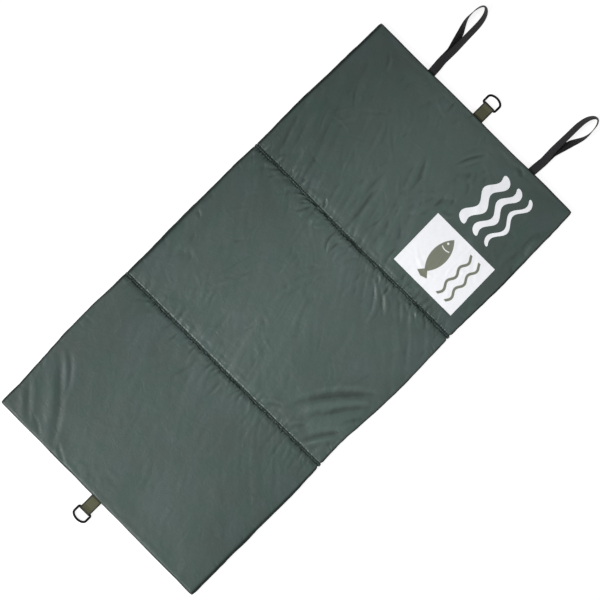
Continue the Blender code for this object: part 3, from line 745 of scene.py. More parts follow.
# how far they lean: by a share of the distance that grows towards the left side on a low end and towards
# the right side on a high end, where they bow round near arcPlace on the fold to the head
streakLean = {
    "low": (0.02, 0.28), "lowFrom": -0.13, "lowOver": 0.12, "high": 0.9, "highOver": 0.4,
    "arcPlace": 0.06, "arcHalf": 0.045, "arcLean": 0.9, "arcBow": 26, "calm": (0.65, 0.8, 0.05, 0.08),
}


def streaks(y, distance, shift, seed):
    # noise drawn out along the gathers, shifted with the distance and fading with it, the fine ones soonest
    middle, swing, cellY, cellAway = streakLean["calm"]
    calm = smooth(middle + swing * softNoise(y, distance, cellY, cellAway, seed + 2))
    return calm * addAll(
        height * softNoise(distance, y + shift, cellAlong, cellAcross, seed + k) * np.exp(-distance / reach)
        for height, cellAlong, cellAcross, reach, k in streakSizes)


def addGathers(relief, xs, ys, x, y, low, high, panel):
    # on each end that is sewn into a fold: streaks, then gathers, then the softer ones under them
    name, seed, lean = panel["name"].lower(), panel["seed"], streakLean
    least, more = lean["low"]
    lowLean = least + more * smooth((y - lean["lowFrom"]) / lean["lowOver"])
    arcs = np.exp(-((y - lean["arcPlace"]) / lean["arcHalf"]) ** 2) * (high > 0)
    highLean = lean["high"] * np.clip(0.5 - y / lean["highOver"], 0, 1)
    highLean = highLean - arcs * (lean["arcLean"] - lean["arcBow"] * (high - x))
    for end, seamX, way, sewn, gathers, shift, seeds in (
            ("Low", low, 1, panel["seams"][0], panel["gathers"][0], (low - x) * lowLean, (50, 60, 65)),
            ("High", high, -1, panel["seams"][1], panel["gathers"][1], (high - x) * highLean, (53, 80, 85))):
        if sewn:
            values = {**commonPleats, **pleats[name + end]}
            relief += gathers * streaks(y, way * (x - seamX), shift, seed + seeds[0])
            seamPleats(relief, xs, ys, seamX, way, seed + seeds[1], values)
            seamPleats(relief, xs, ys, seamX, way, seed + seeds[2], {**values, **softPleats})


# where the stitches pinch the cloth
pinchShape = {
    "spacing": (0.0036, 0.0070), "width": (0.0008, 0.0016), "strength": (0.25, 1.0), "busy": (0.6, 0.7, 0.04),
    "strengthBusy": (0.3, 0.7),
}


def pinches(y, seed, values):
    # narrow bells along a fold, from nothing to one, in calm and busy stretches
    rng = np.random.default_rng(seed)
    field = np.zeros_like(y)
    place = -halfWidth
    while place < halfWidth:
        place += rng.uniform(*values["spacing"])
        least, more = values["strengthBusy"]
        share = least + more * busyAt(place, *values["busy"], seed + 1)
        bell = np.exp(-((y - place) / rng.uniform(*values["width"])) ** 2)
        field = np.maximum(field, rng.uniform(*values["strength"]) * share * bell)
    return field


# the covers' slack, found by a short cloth simulation
slack = {
    "step": 0.005, "spare": 0.012, "seamSpare": 0.08, "fade": 0.035, "rise": 0.006,
    "noise": 0.0004, "noiseSkew": 0.5, "noiseCells": ((0.05, 0.022), (0.016, 0.011)),
    "mass": 0.2, "stiffness": 80, "shearPart": 3, "bending": 0.3, "pressure": 3.0, "damping": 10,
    "quality": 6, "frames": 20,
    "broad": 40, "share": 0.8, "most": 0.00055, "rimFade": 0.012, "cornerFade": 0.07, "cornerCalm": 0.7,
    "smoothing": 4, "onRim": 1e-6,
}


def settle(panel, low, high, values):
    # a sheet a little too large for its rim is sewn down all round and pressed up from below: its creases
    # are the height it takes less that height blurred, held below a limit by the hyperbolic tangent
    xs = np.linspace(low, high, int(round((high - low) / values["step"])) + 1)
    ys = np.linspace(-halfWidth, halfWidth, int(round(2 * halfWidth / values["step"])) + 1)
    x, y = np.meshgrid(xs, ys, indexing="ij")
    toRim = np.minimum(np.minimum(x - low, high - x), halfWidth - np.abs(y))
    rise = riseOf(toRim, 0.0, values["rimFade"])
    (broadX, broadY), (fineX, fineY) = values["noiseCells"]
    start = values["noise"] * (
        softNoise(x + values["noiseSkew"] * y, y, broadX, broadY, panel["seed"])
        + softNoise(x, y, fineX, fineY, panel["seed"] + 1))
    start = np.stack([x, y, (values["rise"] + start) * rise], -1)
    gathered = values["seamSpare"] * addAll(
        sewn * np.exp(-far / values["fade"]) for sewn, far in zip(panel["seams"], (x - low, high - x)))
    cut = np.stack([x * (1 + values["spare"]), y * (1 + values["spare"] + gathered), x * 0], -1)
    sheet = newObject("sheet", start, gridFaces(len(xs), len(ys)), coverNylon)
    sewn = sheet.vertex_groups.new(name="sewn")
    sewn.add(np.flatnonzero((toRim < values["onRim"]).ravel()).tolist(), 1.0, "REPLACE")
    sheet.shape_key_add(name="Basis")
    key = sheet.shape_key_add(name="cut")
    key.data.foreach_set("co", cut.astype(np.float32).ravel())
    key.value = 0
    cloth = sheet.modifiers.new("cloth", "CLOTH").settings
    cloth.quality = values["quality"]
    cloth.mass = values["mass"]
    cloth.tension_stiffness = cloth.compression_stiffness = values["stiffness"]
    cloth.shear_stiffness = values["stiffness"] / values["shearPart"]
    cloth.bending_stiffness = values["bending"]
    cloth.tension_damping = cloth.compression_damping = cloth.shear_damping = values["damping"]
    cloth.vertex_group_mass = "sewn"
    cloth.rest_shape_key = key
    cloth.use_pressure = True
    cloth.uniform_pressure_force = values["pressure"]
    cloth.effector_weights.gravity = 0
    for number in range(1, values["frames"] + 1):
        bpy.context.scene.frame_set(number)
    done = sheet.evaluated_get(bpy.context.evaluated_depsgraph_get()).to_mesh()
    places = np.zeros(len(done.vertices) * 3, np.float32)
    done.vertices.foreach_get("co", places)
    bpy.data.objects.remove(sheet, do_unlink=True)
    bpy.context.scene.frame_set(1)
    height = places.reshape(len(xs), len(ys), 3)[..., 2].astype(float)
    creases = (height - blur(height, values["broad"])) * smooth(toRim / values["rimFade"])
    toCorner = np.hypot(np.minimum(x - low, high - x), halfWidth - np.abs(y))
    creases *= 1 - values["cornerCalm"] * np.exp(-(toCorner / values["cornerFade"]) ** 2)
    return xs, ys, values["most"] * np.tanh(creases * values["share"] / values["most"])


def readField(xs, ys, field, x, y):
    # a field at any place, read between its four nearest stations
    i = np.clip(np.searchsorted(xs, x) - 1, 0, len(xs) - 2)
    j = np.clip(np.searchsorted(ys, y) - 1, 0, len(ys) - 2)
    a = (x - xs[i]) / (xs[i + 1] - xs[i])
    b = (y - ys[j]) / (ys[j + 1] - ys[j])
    low = field[i, j] * (1 - b) + field[i, j + 1] * b
    high = field[i + 1, j] * (1 - b) + field[i + 1, j + 1] * b
    return low * (1 - a) + high * a


def blur(field, rounds):
    # repeated averaging of each point with its four neighbours
    for _ in range(rounds):
        padded = np.pad(field, 1, mode="edge")
        field = (padded[:-2, 1:-1] + padded[2:, 1:-1] + padded[1:-1, :-2] + padded[1:-1, 2:] + 2 * field) / 6
    return field


patchPlace = {"low": (0.2056, -0.2242), "high": (0.3242, -0.0752)}   # corners of the printed patch

# what lifts or sinks the cloth besides the folds seen: waves (height, skew of each way by the other, cells
# along and across, seed), less of it all under the stiff ink film, faint strewn creases and hem dents
clothRelief = {
    "slowWave": (0.0007, 0.6, -0.25, 0.15, 0.055, 0),
    "looseWaves": ((0.0004, 0.3, 0.0, 0.06, 0.03, 20), (0.00018, 0.0, -0.4, 0.022, 0.011, 40)),
    "underInk": 0.25, "inkInside": 0.002, "inkOver": 0.008,
    "strewn": {"count": 100, "inset": 0.02, "halfWidth": 0.22, "turn": (0.1, 0.55), "length": (0.015, 0.07),
               "bowShare": 0.15, "width": (0.0013, 0.0038), "height": 0.0003},
    "dents": {"end": 0.01, "spacing": (0.008, 0.03), "length": (0.008, 0.03), "lean": 0.6, "inset": 0.004,
              "width": (0.0015, 0.003), "height": (-0.0007, 0.0003)},
}


def waveOf(x, y, wave, seed):
    # noise read at places that are skewed, so that its ridges run askew
    height, skewX, skewY, cellX, cellY, number = wave
    return height * softNoise(x + skewX * y, y + skewY * x, cellX, cellY, seed + number)


def strewCreases(relief, xs, ys, low, high, loose, rng, values):
    bow, height = values["bowShare"], values["height"]
    for _ in range(int(values["count"] * loose)):
        x0 = rng.uniform(low + values["inset"], high - values["inset"])
        y0 = rng.uniform(-values["halfWidth"], values["halfWidth"])
        turn = rng.normal(*values["turn"])
        length = rng.uniform(*values["length"])
        end = (x0 + length * math.cos(turn), y0 + length * math.sin(turn))
        addFold(relief, xs, ys, (x0, y0), end, rng.uniform(-bow, bow) * length,
                rng.uniform(*values["width"]), loose * rng.uniform(-height, height))


def dentHems(relief, xs, ys, low, high, rng, values):
    # short dents that start at the two long hems
    y0 = halfWidth - values["inset"]
    for side in (-1, 1):
        x0 = low
        while x0 < high - values["end"]:
            x0 += rng.uniform(*values["spacing"])
            length = rng.uniform(*values["length"])
            lean = rng.uniform(-values["lean"], values["lean"])
            end = (x0 + length * math.sin(lean), side * (y0 - length * math.cos(lean)))
            addFold(relief, xs, ys, (x0, side * y0), end, 0, rng.uniform(*values["width"]),
                    rng.uniform(*values["height"]), True)


def panelRelief(xs, ys, low, high, panel, values):
    # the heights added up: slow waves, the cloth's slack, the folds seen, gathers, strewn creases and dents
    x, y = np.meshgrid(xs, ys, indexing="ij")
    seed, loose = panel["seed"], panel["loose"]
    relief = waveOf(x, y, values["slowWave"], seed)
    for wave in values["looseWaves"]:
        relief += loose * waveOf(x, y, wave, seed)
    relief += loose * blur(readField(*settle(panel, low, high, slack), x, y), slack["smoothing"])
    for column0, row0, column1, row1, bow, width, height in photoFolds:
        start, end = fromPhoto(column0, row0), fromPhoto(column1, row1)
        if low < (start[0] + end[0]) / 2 < high:
            start, end = ((px, py - float(sideShift(px, py))) for px, py in (start, end))
            addFold(relief, xs, ys, start, end, bow * photo["pixel"], width * photo["pixel"],
                    panel["seen"] * height * mm)
    addGathers(relief, xs, ys, x, y, low, high, panel)
    (x0, y0), (x1, y1) = patchPlace["low"], patchPlace["high"]
    toPatch = np.maximum(np.maximum(x0 - x, x - x1), np.maximum(y0 - y, y - y1))
    stiff = values["underInk"]
    relief *= stiff + (1 - stiff) * smooth((toPatch + values["inkInside"]) / values["inkOver"])
    rng = np.random.default_rng(seed + 100)
    strewCreases(relief, xs, ys, low, high, loose, rng, values["strewn"])
    dentHems(relief, xs, ys, low, high, rng, values["dents"])
    return relief


# painted light that makes the cover paler: most along the middle and towards the head end, a little beside
# the fold to the tail and at the tail end, then patches of the photo, where a negative share paints shade:
# place, reach along and across, share
paintedLightShape = {
    "full": 1.1, "halfWidth": 0.22, "least": 0.2, "more": 0.4, "moreFrom": -0.3, "moreOver": 0.5,
    "foldPlace": -0.112, "foldReach": 0.035, "foldShare": 0.15, "endFrom": -0.38, "endOver": 0.08,
    "endShare": 0.1, "underShare": 0.4,
    "patches": (
        ((0.07, -0.2), (0.13, 0.07), 0.3), ((-0.38, -0.13), (0.06, 0.05), 0.3),
        ((-0.02, 0.01), (0.05, 0.06), 0.2), ((-0.47, -0.18), (0.05, 0.1), 0.35),
        ((-0.02, 0.19), (0.12, 0.07), 0.27), ((-0.105, -0.22), (0.05, 0.035), 0.45),
        ((0.5, 0.0), (0.04, 0.3), -0.22),
    ),
}


def paintedLightAt(x, y, values):
    # smooth steps across and along the mat, and a bell for each patch
    along = values["least"] + values["more"] * smooth((x - values["moreFrom"]) / values["moreOver"])
    rub = smooth(values["full"] - np.abs(y) / values["halfWidth"]) * along
    rub += values["foldShare"] * np.exp(-((x - values["foldPlace"]) / values["foldReach"]) ** 2)
    rub += values["endShare"] * smooth((values["endFrom"] - x) / values["endOver"])
    for place, reach, share in values["patches"]:
        rub += share * np.exp(-((x - place[0]) / reach[0]) ** 2 - ((y - place[1]) / reach[1]) ** 2)
    return rub


def strapLift(x, y, low, high, values):
    # a strap sewn into the rim lifts the cover over it: a flat-topped bell across and a bell inwards
    lift = np.zeros_like(x)
    for place, width in strapPlaces:
        rimX = np.clip(place[0], low, high)
        if abs(place[0] - rimX) < values["strapNear"]:
            toPlace = np.abs(x - rimX)
            window = np.exp(-(np.abs(y - place[1]) / (width / 2 + values["strapEdge"])) ** 6)
            inwards = np.exp(-(toPlace / values["strapReach"]) ** 2) * smooth(toPlace / values["strapRoot"])
            lift += window * inwards
    return lift


def shiftedOutline(x, y, low, high, panel, values):
    # the outline follows the photo, wanders a little, is rounded at the corners and drawn in at a fold's ends
    seed, (lowSewn, highSewn) = panel["seed"], panel["seams"]
    rightNotch, leftNotch = values["notches"]
    notch = np.where(y > 0, leftNotch, rightNotch)
    lowPull, highPull = (notch if sewn else values["cornerPull"] for sewn in (lowSewn, highSewn))
    nearLow, nearHigh, nearSide = (
        np.clip(1 - far / values["cornerReach"], 0, 1) ** 2
        for far in (x - low, high - x, halfWidth - np.abs(y)))
    sway = addAll(
        size * softNoise(x, np.sign(y), cell, 1.0, seed + k) * nearSide for size, cell, k in values["sways"])
    yOut = y - np.sign(y) * nearSide * (lowPull * nearLow + highPull * nearHigh) + sway + sideShift(x, y)
    xOut = x + nearSide * values["endPullShare"] * (lowPull * nearLow - highPull * nearHigh) + endShift(x, y)
    size, cell = values["endSway"]
    endSway = size * softNoise(np.sign(x), y, 1.0, cell, seed + 6)
    swing, cell = values["ragged"]
    ragged = values["intoSeam"] * (1 + swing * alongNoise(y, cell, seed + 12))
    xOut += (ragged + seamWander(y, high > 0) if highSewn else endSway) * nearHigh
    start, over = values["apartFrom"]
    apart = values["apart"] * smooth((np.abs(y) - start) / over) * (low > 0)
    evenShare, raggedShare = values["evenShares"]
    even = evenShare * values["intoSeam"] + raggedShare * ragged
    xOut += (seamWander(y, low > 0) + apart - even if lowSewn else endSway) * nearLow
    return xOut, yOut


def closePad(name, xOut, yOut, top, under):
    # the two covers share the points of their rim
    rows, columns = top.shape
    topPoints = np.stack([xOut, yOut, top], -1).reshape(-1, 3)
    underPoints = np.stack([xOut, yOut, under], -1)[1:-1, 1:-1].reshape(-1, 3)
    underIndex = np.arange(rows * columns).reshape(rows, columns)
    inner = np.arange((rows - 2) * (columns - 2)).reshape(rows - 2, columns - 2)
    underIndex[1:-1, 1:-1] = rows * columns + inner
    topFaces = gridFaces(rows, columns)
    underFaces = underIndex.ravel()[topFaces[:, ::-1]]
    points = np.concatenate([topPoints, underPoints])
    return newObject(name, points, np.concatenate([topFaces, underFaces]), coverNylon)


coverTops = {}


def makePanel(panel, values):
    # a closed pad: the covers rise and fall from a shared rim by quarter ellipses, with a flange along the
    # outer sides, a crown in the middle, and the relief on top, mirrored across for the underside
    name, seed = panel["name"].lower(), panel["seed"]
    nodes = [part + name for part in ("top_cover_", "bottom_cover_", "foam_pad_")]
    low, high = (corner.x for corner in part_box(nodes[0]))
    lowSewn, highSewn = panel["seams"]
    xs = stations(low, high, values, values["midStepAlong"])
    ys = stations(-halfWidth, halfWidth, values, values["midStepAcross"])
    x, y = np.meshgrid(xs, ys, indexing="ij")
    toLow, toHigh, toSide = x - low, high - x, halfWidth - np.abs(y)
    toRim = np.minimum(np.minimum(toLow, toHigh), toSide)

    # a pinch makes the cover rise more slowly out of a fold, and sinks and shades it there
    swing, cell = values["uneven"]
    uneven = 1 + swing * softNoise(x, y, cell, cell, seed + 5)
    lowPinch, highPinch = (pinches(y, seed + k, pinchShape) for k in (30, 35))
    lowRadius, highRadius = (
        radius * (uneven + share * pinch)
        for radius, share, pinch in zip(panel["radii"], panel["pinches"], (lowPinch, highPinch)))
    lowRise = riseOf(toLow, 0.0 if lowSewn else values["flange"], lowRadius)
    if highSewn:
        highRise = valleyOf(toHigh, highRadius, panel["steep"], values["steepReach"])
    else:
        highRise = riseOf(toHigh, values["flange"], highRadius)
    sideRise = riseOf(toSide, values["flange"], values["outerRadius"] * uneven)
    underRise = lowRise * highRise * sideRise
    lowFloor, highFloor = (values["seamFloor"] * sewn for sewn in panel["seams"])
    rise = (lowFloor + (1 - lowFloor) * lowRise) * (highFloor + (1 - highFloor) * highRise) * sideRise
    lowTick, highTick = (
        sewn * pinch * np.exp(-(far / reach) ** 2) for sewn, pinch, far, reach in zip(
            panel["seams"], (lowPinch, highPinch), (toLow, toHigh), values["tickReaches"]))
    relief = panelRelief(xs, ys, low, high, panel, clothRelief)
    relief -= values["tickSink"] * (lowTick + highTick)

    # heights of the two covers
    crown = (1 - (2 * (x - (low + high) / 2) / (high - low)) ** 2) * (1 - (y / halfWidth) ** 2)
    flangeRound = values["flangeRoundShare"] * values["flange"]
    hem = values["flangeHalf"] * np.sqrt(np.clip(toRim / flangeRound, 0, 1))
    lift = values["strapLift"] * strapLift(x, y, low, high, values)
    ripple = addAll(
        size * softNoise(x + y, x - y, cell, cell, seed + k) for size, cell, k in values["ripples"])
    ripple *= values["rippleShare"] * (1 - smooth(toRim / values["rippleReach"]))
    wall = (values["edgeHeight"] - values["rim"] - values["flangeHalf"]) * rise
    top = values["rim"] + hem + wall + (values["crown"] * crown + relief) * rise ** values["reliefPower"]
    top += lift * (1 - values["liftedShare"] * rise) + ripple
    over = np.maximum(top - values["flatFrom"], 0)   # crests flatten where a folded panel would press on them
    top -= over - values["flatOver"] * np.tanh(over / values["flatOver"])
    under = (values["rim"] - hem - lift * values["underLiftShare"]) * (1 - underRise) + ripple
    mirrored = values["thinnest"] - values["underReliefShare"] * relief[:, ::-1]
    under = np.maximum(under + np.clip(mirrored, 0, values["underMost"]) * underRise, 0.0)
    xOut, yOut = shiftedOutline(x, y, low, high, panel, values)
    piece = closePad("panel" + panel["name"], xOut, yOut, top, under)

    # painted shades: shade in creases with a highlight on their crests, shade along hems and folds, and light
    # along the middle
    crease = np.clip((relief - blur(relief, values["creaseBlur"])) / values["creaseHeight"], -1, 1)
    crease *= smooth(toRim / values["creaseReach"])
    lowShade, highShade = panel["seamShades"]
    lowTone = lowShade * np.exp(-(toLow / panel["lipShade"]) ** 2)
    lowTone += values["tickShade"] * panel["pinches"][0] * lowTick
    highTone = highShade * np.exp(-(toHigh / values["seamDark"]) ** 2) + values["tickShade"] * highTick
    hemShade = hemDark(x, y, toSide, toHigh + highSewn, toLow + lowSewn)
    hemShade = np.clip(np.maximum(hemShade, darkShare(np.maximum(lowTone, highTone))), 0, 1)
    rub = paintedLightAt(x, y, paintedLightShape)
    shades = {
        "crease": (crease, crease[:, ::-1]), "hem": (hemShade, hemShade),
        "rub": (rub, paintedLightShape["underShare"] * rub),
    }
    for attribute, (upper, lower) in shades.items():
        addAttribute(piece, attribute, np.concatenate([upper.ravel(), lower[1:-1, 1:-1].ravel()]))
    coverTops[panel["name"]] = (xs, ys, top)
    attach(piece, name + "_panel")
    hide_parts(*nodes)


for panel in panels:
    makePanel(panel, panelShape)
    print("panel made:", panel["name"])


def onCover(name, x, y):
    # height of a cover at any place
    return readField(*coverTops[name], x, y)


# fold webs: cloth sewn through between two panels, gathered into a ladder between two rows of stitches
webShape = {
    "half": 0.0042, "pastPanels": -0.0004, "height": 0.0058, "skirt": 0.0007, "lift": 0.0022, "edgePower": 6,
    "ridge": 0.0003, "ridgeHalf": 0.0014, "groove": 0.0004, "grooveHalf": 0.0006,
    "tuck": 0.0052, "tuckHeight": 0.0011, "tuckSway": (1.1, 0.015), "tuckPower": 0.7, "tuckMiddle": 0.4,
    "busy": (0.3, 0.4, 0.5, 0.05), "full": 0.4, "fullFrom": 0.15, "fullOver": 0.05,
    "endTaper": 0.002, "endDrawnIn": 0.45, "stepAlong": 0.0007, "stepsAcross": 30, "blendHalf": 0.0016,
    "rowPlace": 0.0017, "rowEnd": 0.004, "stitchPitch": 0.0052, "stitchLength": 0.0034, "stitchRise": 1.2,
    "threadHalf": 0.0004,   # the real thread is half as thick, drawn coarser so that the stitches show
}
webShade = {
    "rowHalf": 0.0007, "row": 0.05, "rowPull": 0.35, "rowOpen": 0.35, "middle": 0.15, "hollow": 0.5,
    "hollowCell": 0.0026, "openPull": 0.65, "outside": 0.15, "outsideOver": 0.001,
    "openRight": (0.8, 0.205, 0.02), "crease": 0.4,
}
# the ladder lies open at its ends: share, from where along the fold, over how much
webs = [
    {"name": "foldWebHead", "joint": "head_fold", "bodies": ("middle_panel", "head_panel"), "seed": 31,
     "node": "fold_web_head", "openLeft": (1.0, 0.13, 0.05)},
    {"name": "foldWebTail", "joint": "tail_fold", "bodies": ("tail_panel", "middle_panel"), "seed": 33,
     "node": "fold_web_tail", "openLeft": (0.5, 0.2, 0.03)},
]


def webHeight(x, y, values, seed):
    # a low ridge with uneven tucks, fuller at the left end, between two grooves where the stitches pull
    least, more, middle, cell = values["busy"]
    busy = least + more * smooth(middle + alongNoise(y, cell, seed + 5))
    busy = busy + values["full"] * smooth((y - values["fullFrom"]) / values["fullOver"])
    swing, cell = values["tuckSway"]
    phase = y / values["tuck"] + swing * alongNoise(y, cell, seed)
    tuck = np.abs(np.sin(math.pi * phase)) ** values["tuckPower"] - values["tuckMiddle"]
    bell = np.exp(-(x / values["ridgeHalf"]) ** 2)
    groove = np.exp(-((np.abs(x) - values["rowPlace"]) / values["grooveHalf"]) ** 2)
    ridge = (values["ridge"] + values["tuckHeight"] * busy * tuck) * bell
    return values["skirt"] + ridge - values["groove"] * groove


def shadeWeb(piece, web, x, y, values, shade):
    # painted shade: dark at the two rows of stitches, most where a stitch pulls, and in the hollows
    # between the tucks; where the ladder lies open, dark between the rows instead
    row = np.exp(-((np.abs(x) - values["rowPlace"]) / shade["rowHalf"]) ** 2)
    pull = 0.5 + 0.5 * np.cos(2 * math.pi * y / values["stitchPitch"])
    hollow = 0.5 + 0.5 * alongNoise(y, shade["hollowCell"], web["seed"] + 9)
    outside = smooth((np.abs(x) - values["rowPlace"]) / shade["outsideOver"])
    opened = addAll(
        share * smooth((place - start) / over)
        for place, (share, start, over) in ((y, web["openLeft"]), (-y, shade["openRight"])))
    middle = (shade["middle"] + shade["hollow"] * hollow) * (1 - opened)
    middle += shade["openPull"] * pull ** 2 * opened
    rows = row * (shade["row"] + shade["rowPull"] * pull + shade["rowOpen"] * opened)
    dark = np.maximum(rows, middle * (1 - row)) + shade["outside"] * outside
    addAttribute(piece, "hem", np.clip(dark, 0, 1))
    addAttribute(piece, "crease", -shade["crease"] * hollow * (1 - opened))


def makeWeb(web, values):
    # a flat tube across the fold: the web's height above and below its middle, rounded off all round
    fold, seed = joints[web["joint"]]["pos_m"][0], web["seed"]
    reach = halfWidth - values["pastPanels"]
    xs = np.linspace(-values["half"], values["half"], values["stepsAcross"])
    ys = np.linspace(-reach, reach, int(2 * reach / values["stepAlong"]))
    x, y = np.meshgrid(xs, ys, indexing="ij")
    toEnd = (reach - np.abs(y)) / values["endTaper"]
    toEdge = 1 - (x / values["half"]) ** values["edgePower"]
    rounded = np.sqrt(np.clip(toEnd, 0, 1)) * np.sqrt(np.clip(toEdge, 0, 1))
    up = (webHeight(x, y, values, seed) + values["lift"]) * rounded
    down = webHeight(x, y, values, seed + 1) * rounded
    xOut = x * (1 - values["endDrawnIn"] * np.exp(-toEnd ** 2)) + fold + seamWander(y, fold > 0)
    yOut = y + sideShift(x + fold, y)
    top, bottom = (np.stack([xOut, yOut, values["height"] + part], -1) for part in (up, -down))
    loop = np.concatenate([top, bottom[-2:0:-1]])   # across over the top and back underneath
    piece = newObject(web["name"], loop, gridFaces(*loop.shape[:2], closeRows=True), foldNylon)
    aroundX, aroundY = (np.concatenate([part, part[-2:0:-1]]) for part in (x, y))
    shadeWeb(piece, web, aroundX, aroundY, values, webShade)
    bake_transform(piece)
    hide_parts(web["node"])


stitchShape = {"around": 8, "along": 7, "thinnest": 0.02, "dip": 1.4}


def makeStitches(name, places, ways, ups, length, half, body, material):
    # one stitch is a stretched ball, thin at its ends, copied to every place by adding arrays
    around, along = stitchShape["around"], stitchShape["along"]
    turn = np.arange(around) * 2 * math.pi / around
    reach = np.linspace(-1, 1, along)
    thick = np.sqrt(np.maximum(1 - reach ** 4, stitchShape["thinnest"]))
    acrossWay = np.cross(ups, ways)
    ball = (reach[None, :, None, None] * length / 2 * ways[:, None, None, :]
            + thick[None, :, None, None] * half * (
                np.cos(turn)[None, None, :, None] * acrossWay[:, None, None, :]
                + np.sin(turn)[None, None, :, None] * ups[:, None, None, :]))
    dip = (reach ** 2 * half * stitchShape["dip"])[None, :, None, None] * ups[:, None, None, :]
    one = gridFaces(along, around, closeColumns=True)
    faces = (one[None] + (np.arange(len(places)) * along * around)[:, None, None]).reshape(-1, 4)
    piece = newObject(name, places[:, None, None, :] + ball - dip, faces, material)
    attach(piece, body)


def makeSeamRow(web, ending, side, body, values, up):
    # a straight row of stitches in the groove beside the ridge, on the upper face or the under one
    fold = joints[web["joint"]]["pos_m"][0]
    reach = halfWidth - values["pastPanels"] - values["rowEnd"]
    y = np.arange(-reach, reach, values["stitchPitch"])
    x = np.full_like(y, side * values["rowPlace"])
    rise = webHeight(x, y, values, web["seed"] + (up < 0)) + values["lift"] * (up > 0)
    height = values["height"] + up * (rise + values["threadHalf"] * values["stitchRise"])
    places = np.stack([x + fold + seamWander(y, fold > 0), y + sideShift(x + fold, y), height], -1)
    ways = np.tile([0.0, 1.0, 0.0], (len(y), 1))
    ups = np.tile([0.0, 0.0, float(up)], (len(y), 1))
    makeStitches(
        web["name"] + ending, places, ways, ups, values["stitchLength"], values["threadHalf"], body, thread)


for web in webs:
    makeWeb(web, webShape)
    for up, face in ((1, "Upper"), (-1, "Under")):
        for side, end, body in ((-1, "Low", web["bodies"][0]), (1, "High", web["bodies"][1])):
            makeSeamRow(web, "Stitches" + face + end, side, body, webShape, up)

# tacks that lock the seams at two ends, worn pale: each stitch a little to the other side of the last
tackShape = {"rise": 0.0017, "sides": (-0.0006, 0.0004), "turn": 0.6, "length": 0.0032, "threadHalf": 0.0005}
tacks = [
    {"joint": "tail_fold", "first": 0.2495, "step": 0.0011, "count": 4},
    {"joint": "head_fold", "first": -0.2440, "step": 0.0062, "count": 3},
]


def makeTack(tack, values):
    number = np.arange(tack["count"])
    y = tack["first"] + tack["step"] * number
    fold = joints[tack["joint"]]["pos_m"][0]
    x = fold + seamWander(y, fold > 0) + np.array(values["sides"])[number % 2]
    places = np.stack([x, y + sideShift(x, y), np.full(len(y), webShape["height"] + values["rise"])], -1)
    ways = np.tile([math.cos(values["turn"]), math.sin(values["turn"]), 0.0], (len(y), 1))
    ups = np.tile([0.0, 0.0, 1.0], (len(y), 1))
    makeStitches(tack["joint"] + "Tack", places, ways, ups, values["length"], values["threadHalf"],
                 "middle_panel", paleThread)


for tack in tacks:
    makeTack(tack, tackShape)
print("fold webs made")


# straps: a rounded flat profile carried along a path
def between(rows, steps):
    # a smooth curve through rows of values
    rows = np.asarray(rows, float)
    before = np.concatenate([rows[:1], rows[:-2]])
    after = np.concatenate([rows[2:], rows[-1:]])
    t = (np.arange(steps) / steps)[None, :, None]
    spans = (part[:, None, :] for part in (before, rows[:-1], rows[1:], after))
    return np.concatenate([cubic(*spans, t).reshape(-1, rows.shape[1]), rows[-1:]])


def lengthsOf(path):
    # how far along its path each point lies
    return np.concatenate([[0], np.cumsum(np.linalg.norm(np.diff(path[:, :3], axis=0), axis=1))])


def evenly(path, step):
    # the path read again at even steps of its own length
    lengths = lengthsOf(path)
    places = np.linspace(0, lengths[-1], int(lengths[-1] / step) + 1)
    return np.stack([np.interp(places, lengths, path[:, k]) for k in range(path.shape[1])], -1), places


# the strap's section: powers of its cosine and sine that make it flat, and the selvedge's bead
strapProfile = {"powers": (0.35, 0.5), "bead": 0.18, "beadPlaceShare": 0.9, "beadHalfShare": 0.06}


def sweepStrap(name, path, widthWays, lengths, bent, values, material):
    # each section is a flat oval in the plane of the width way and the normal, a little thicker at each rib
    tangents = np.gradient(path, axis=0)
    tangents /= np.linalg.norm(tangents, axis=1, keepdims=True)
    normals = np.cross(tangents, widthWays)
    normals /= np.linalg.norm(normals, axis=1, keepdims=True)
    ways = np.cross(normals, tangents)
    turn = (np.arange(values["around"]) + 0.5) * 2 * math.pi / values["around"]
    a, b = (np.sign(part) * np.abs(part) ** power
            for part, power in zip((np.cos(turn), np.sin(turn)), strapProfile["powers"]))
    ribs = 1 + values["ribShare"] * np.cos(2 * math.pi * lengths / values["rib"])
    toBead = (np.abs(a) - strapProfile["beadPlaceShare"]) / strapProfile["beadHalfShare"]
    bead = 1 + strapProfile["bead"] * np.exp(-toBead ** 2)
    points = (path[:, None] + values["width"] / 2 * a[None, :, None] * ways[:, None]
              + values["sheet"] / 2 * (ribs[:, None] * (b * bead)[None, :])[..., None] * normals[:, None])
    rows, columns = points.shape[:2]
    piece = newObject(name, points, gridFaces(rows, columns, closeColumns=True)[:, ::-1], material)
    mesh = piece.data
    layer = mesh.uv_layers.new(name="strap")
    index = np.zeros(len(mesh.loops), np.int32)
    mesh.loops.foreach_get("vertex_index", index)
    u = np.repeat(lengths, columns)[index]
    v = np.tile((a + 1) / 2, rows)[index]
    layer.data.foreach_set("uv", np.stack([u, v], -1).astype(np.float32).ravel())
    addAttribute(piece, "bent", np.repeat(bent, columns))
    return piece


def finishStrap(piece, node):
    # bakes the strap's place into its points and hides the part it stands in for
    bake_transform(piece)
    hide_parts(node)


handleShape = {
    "width": handleWidth, "sheet": 0.0014, "gap": 0.0005, "reach": 0.156, "settle": 0.06, "into": 0.0058,
    "floor": 0.0001, "step": 0.0004, "rib": 0.0016, "ribShare": 0.11, "around": 28, "routeSteps": 12,
    "blendStart": 0.0012, "blendEnd": 0.006, "straight": 0.002, "rootShade": 0.8, "rootReach": 0.0025,
}
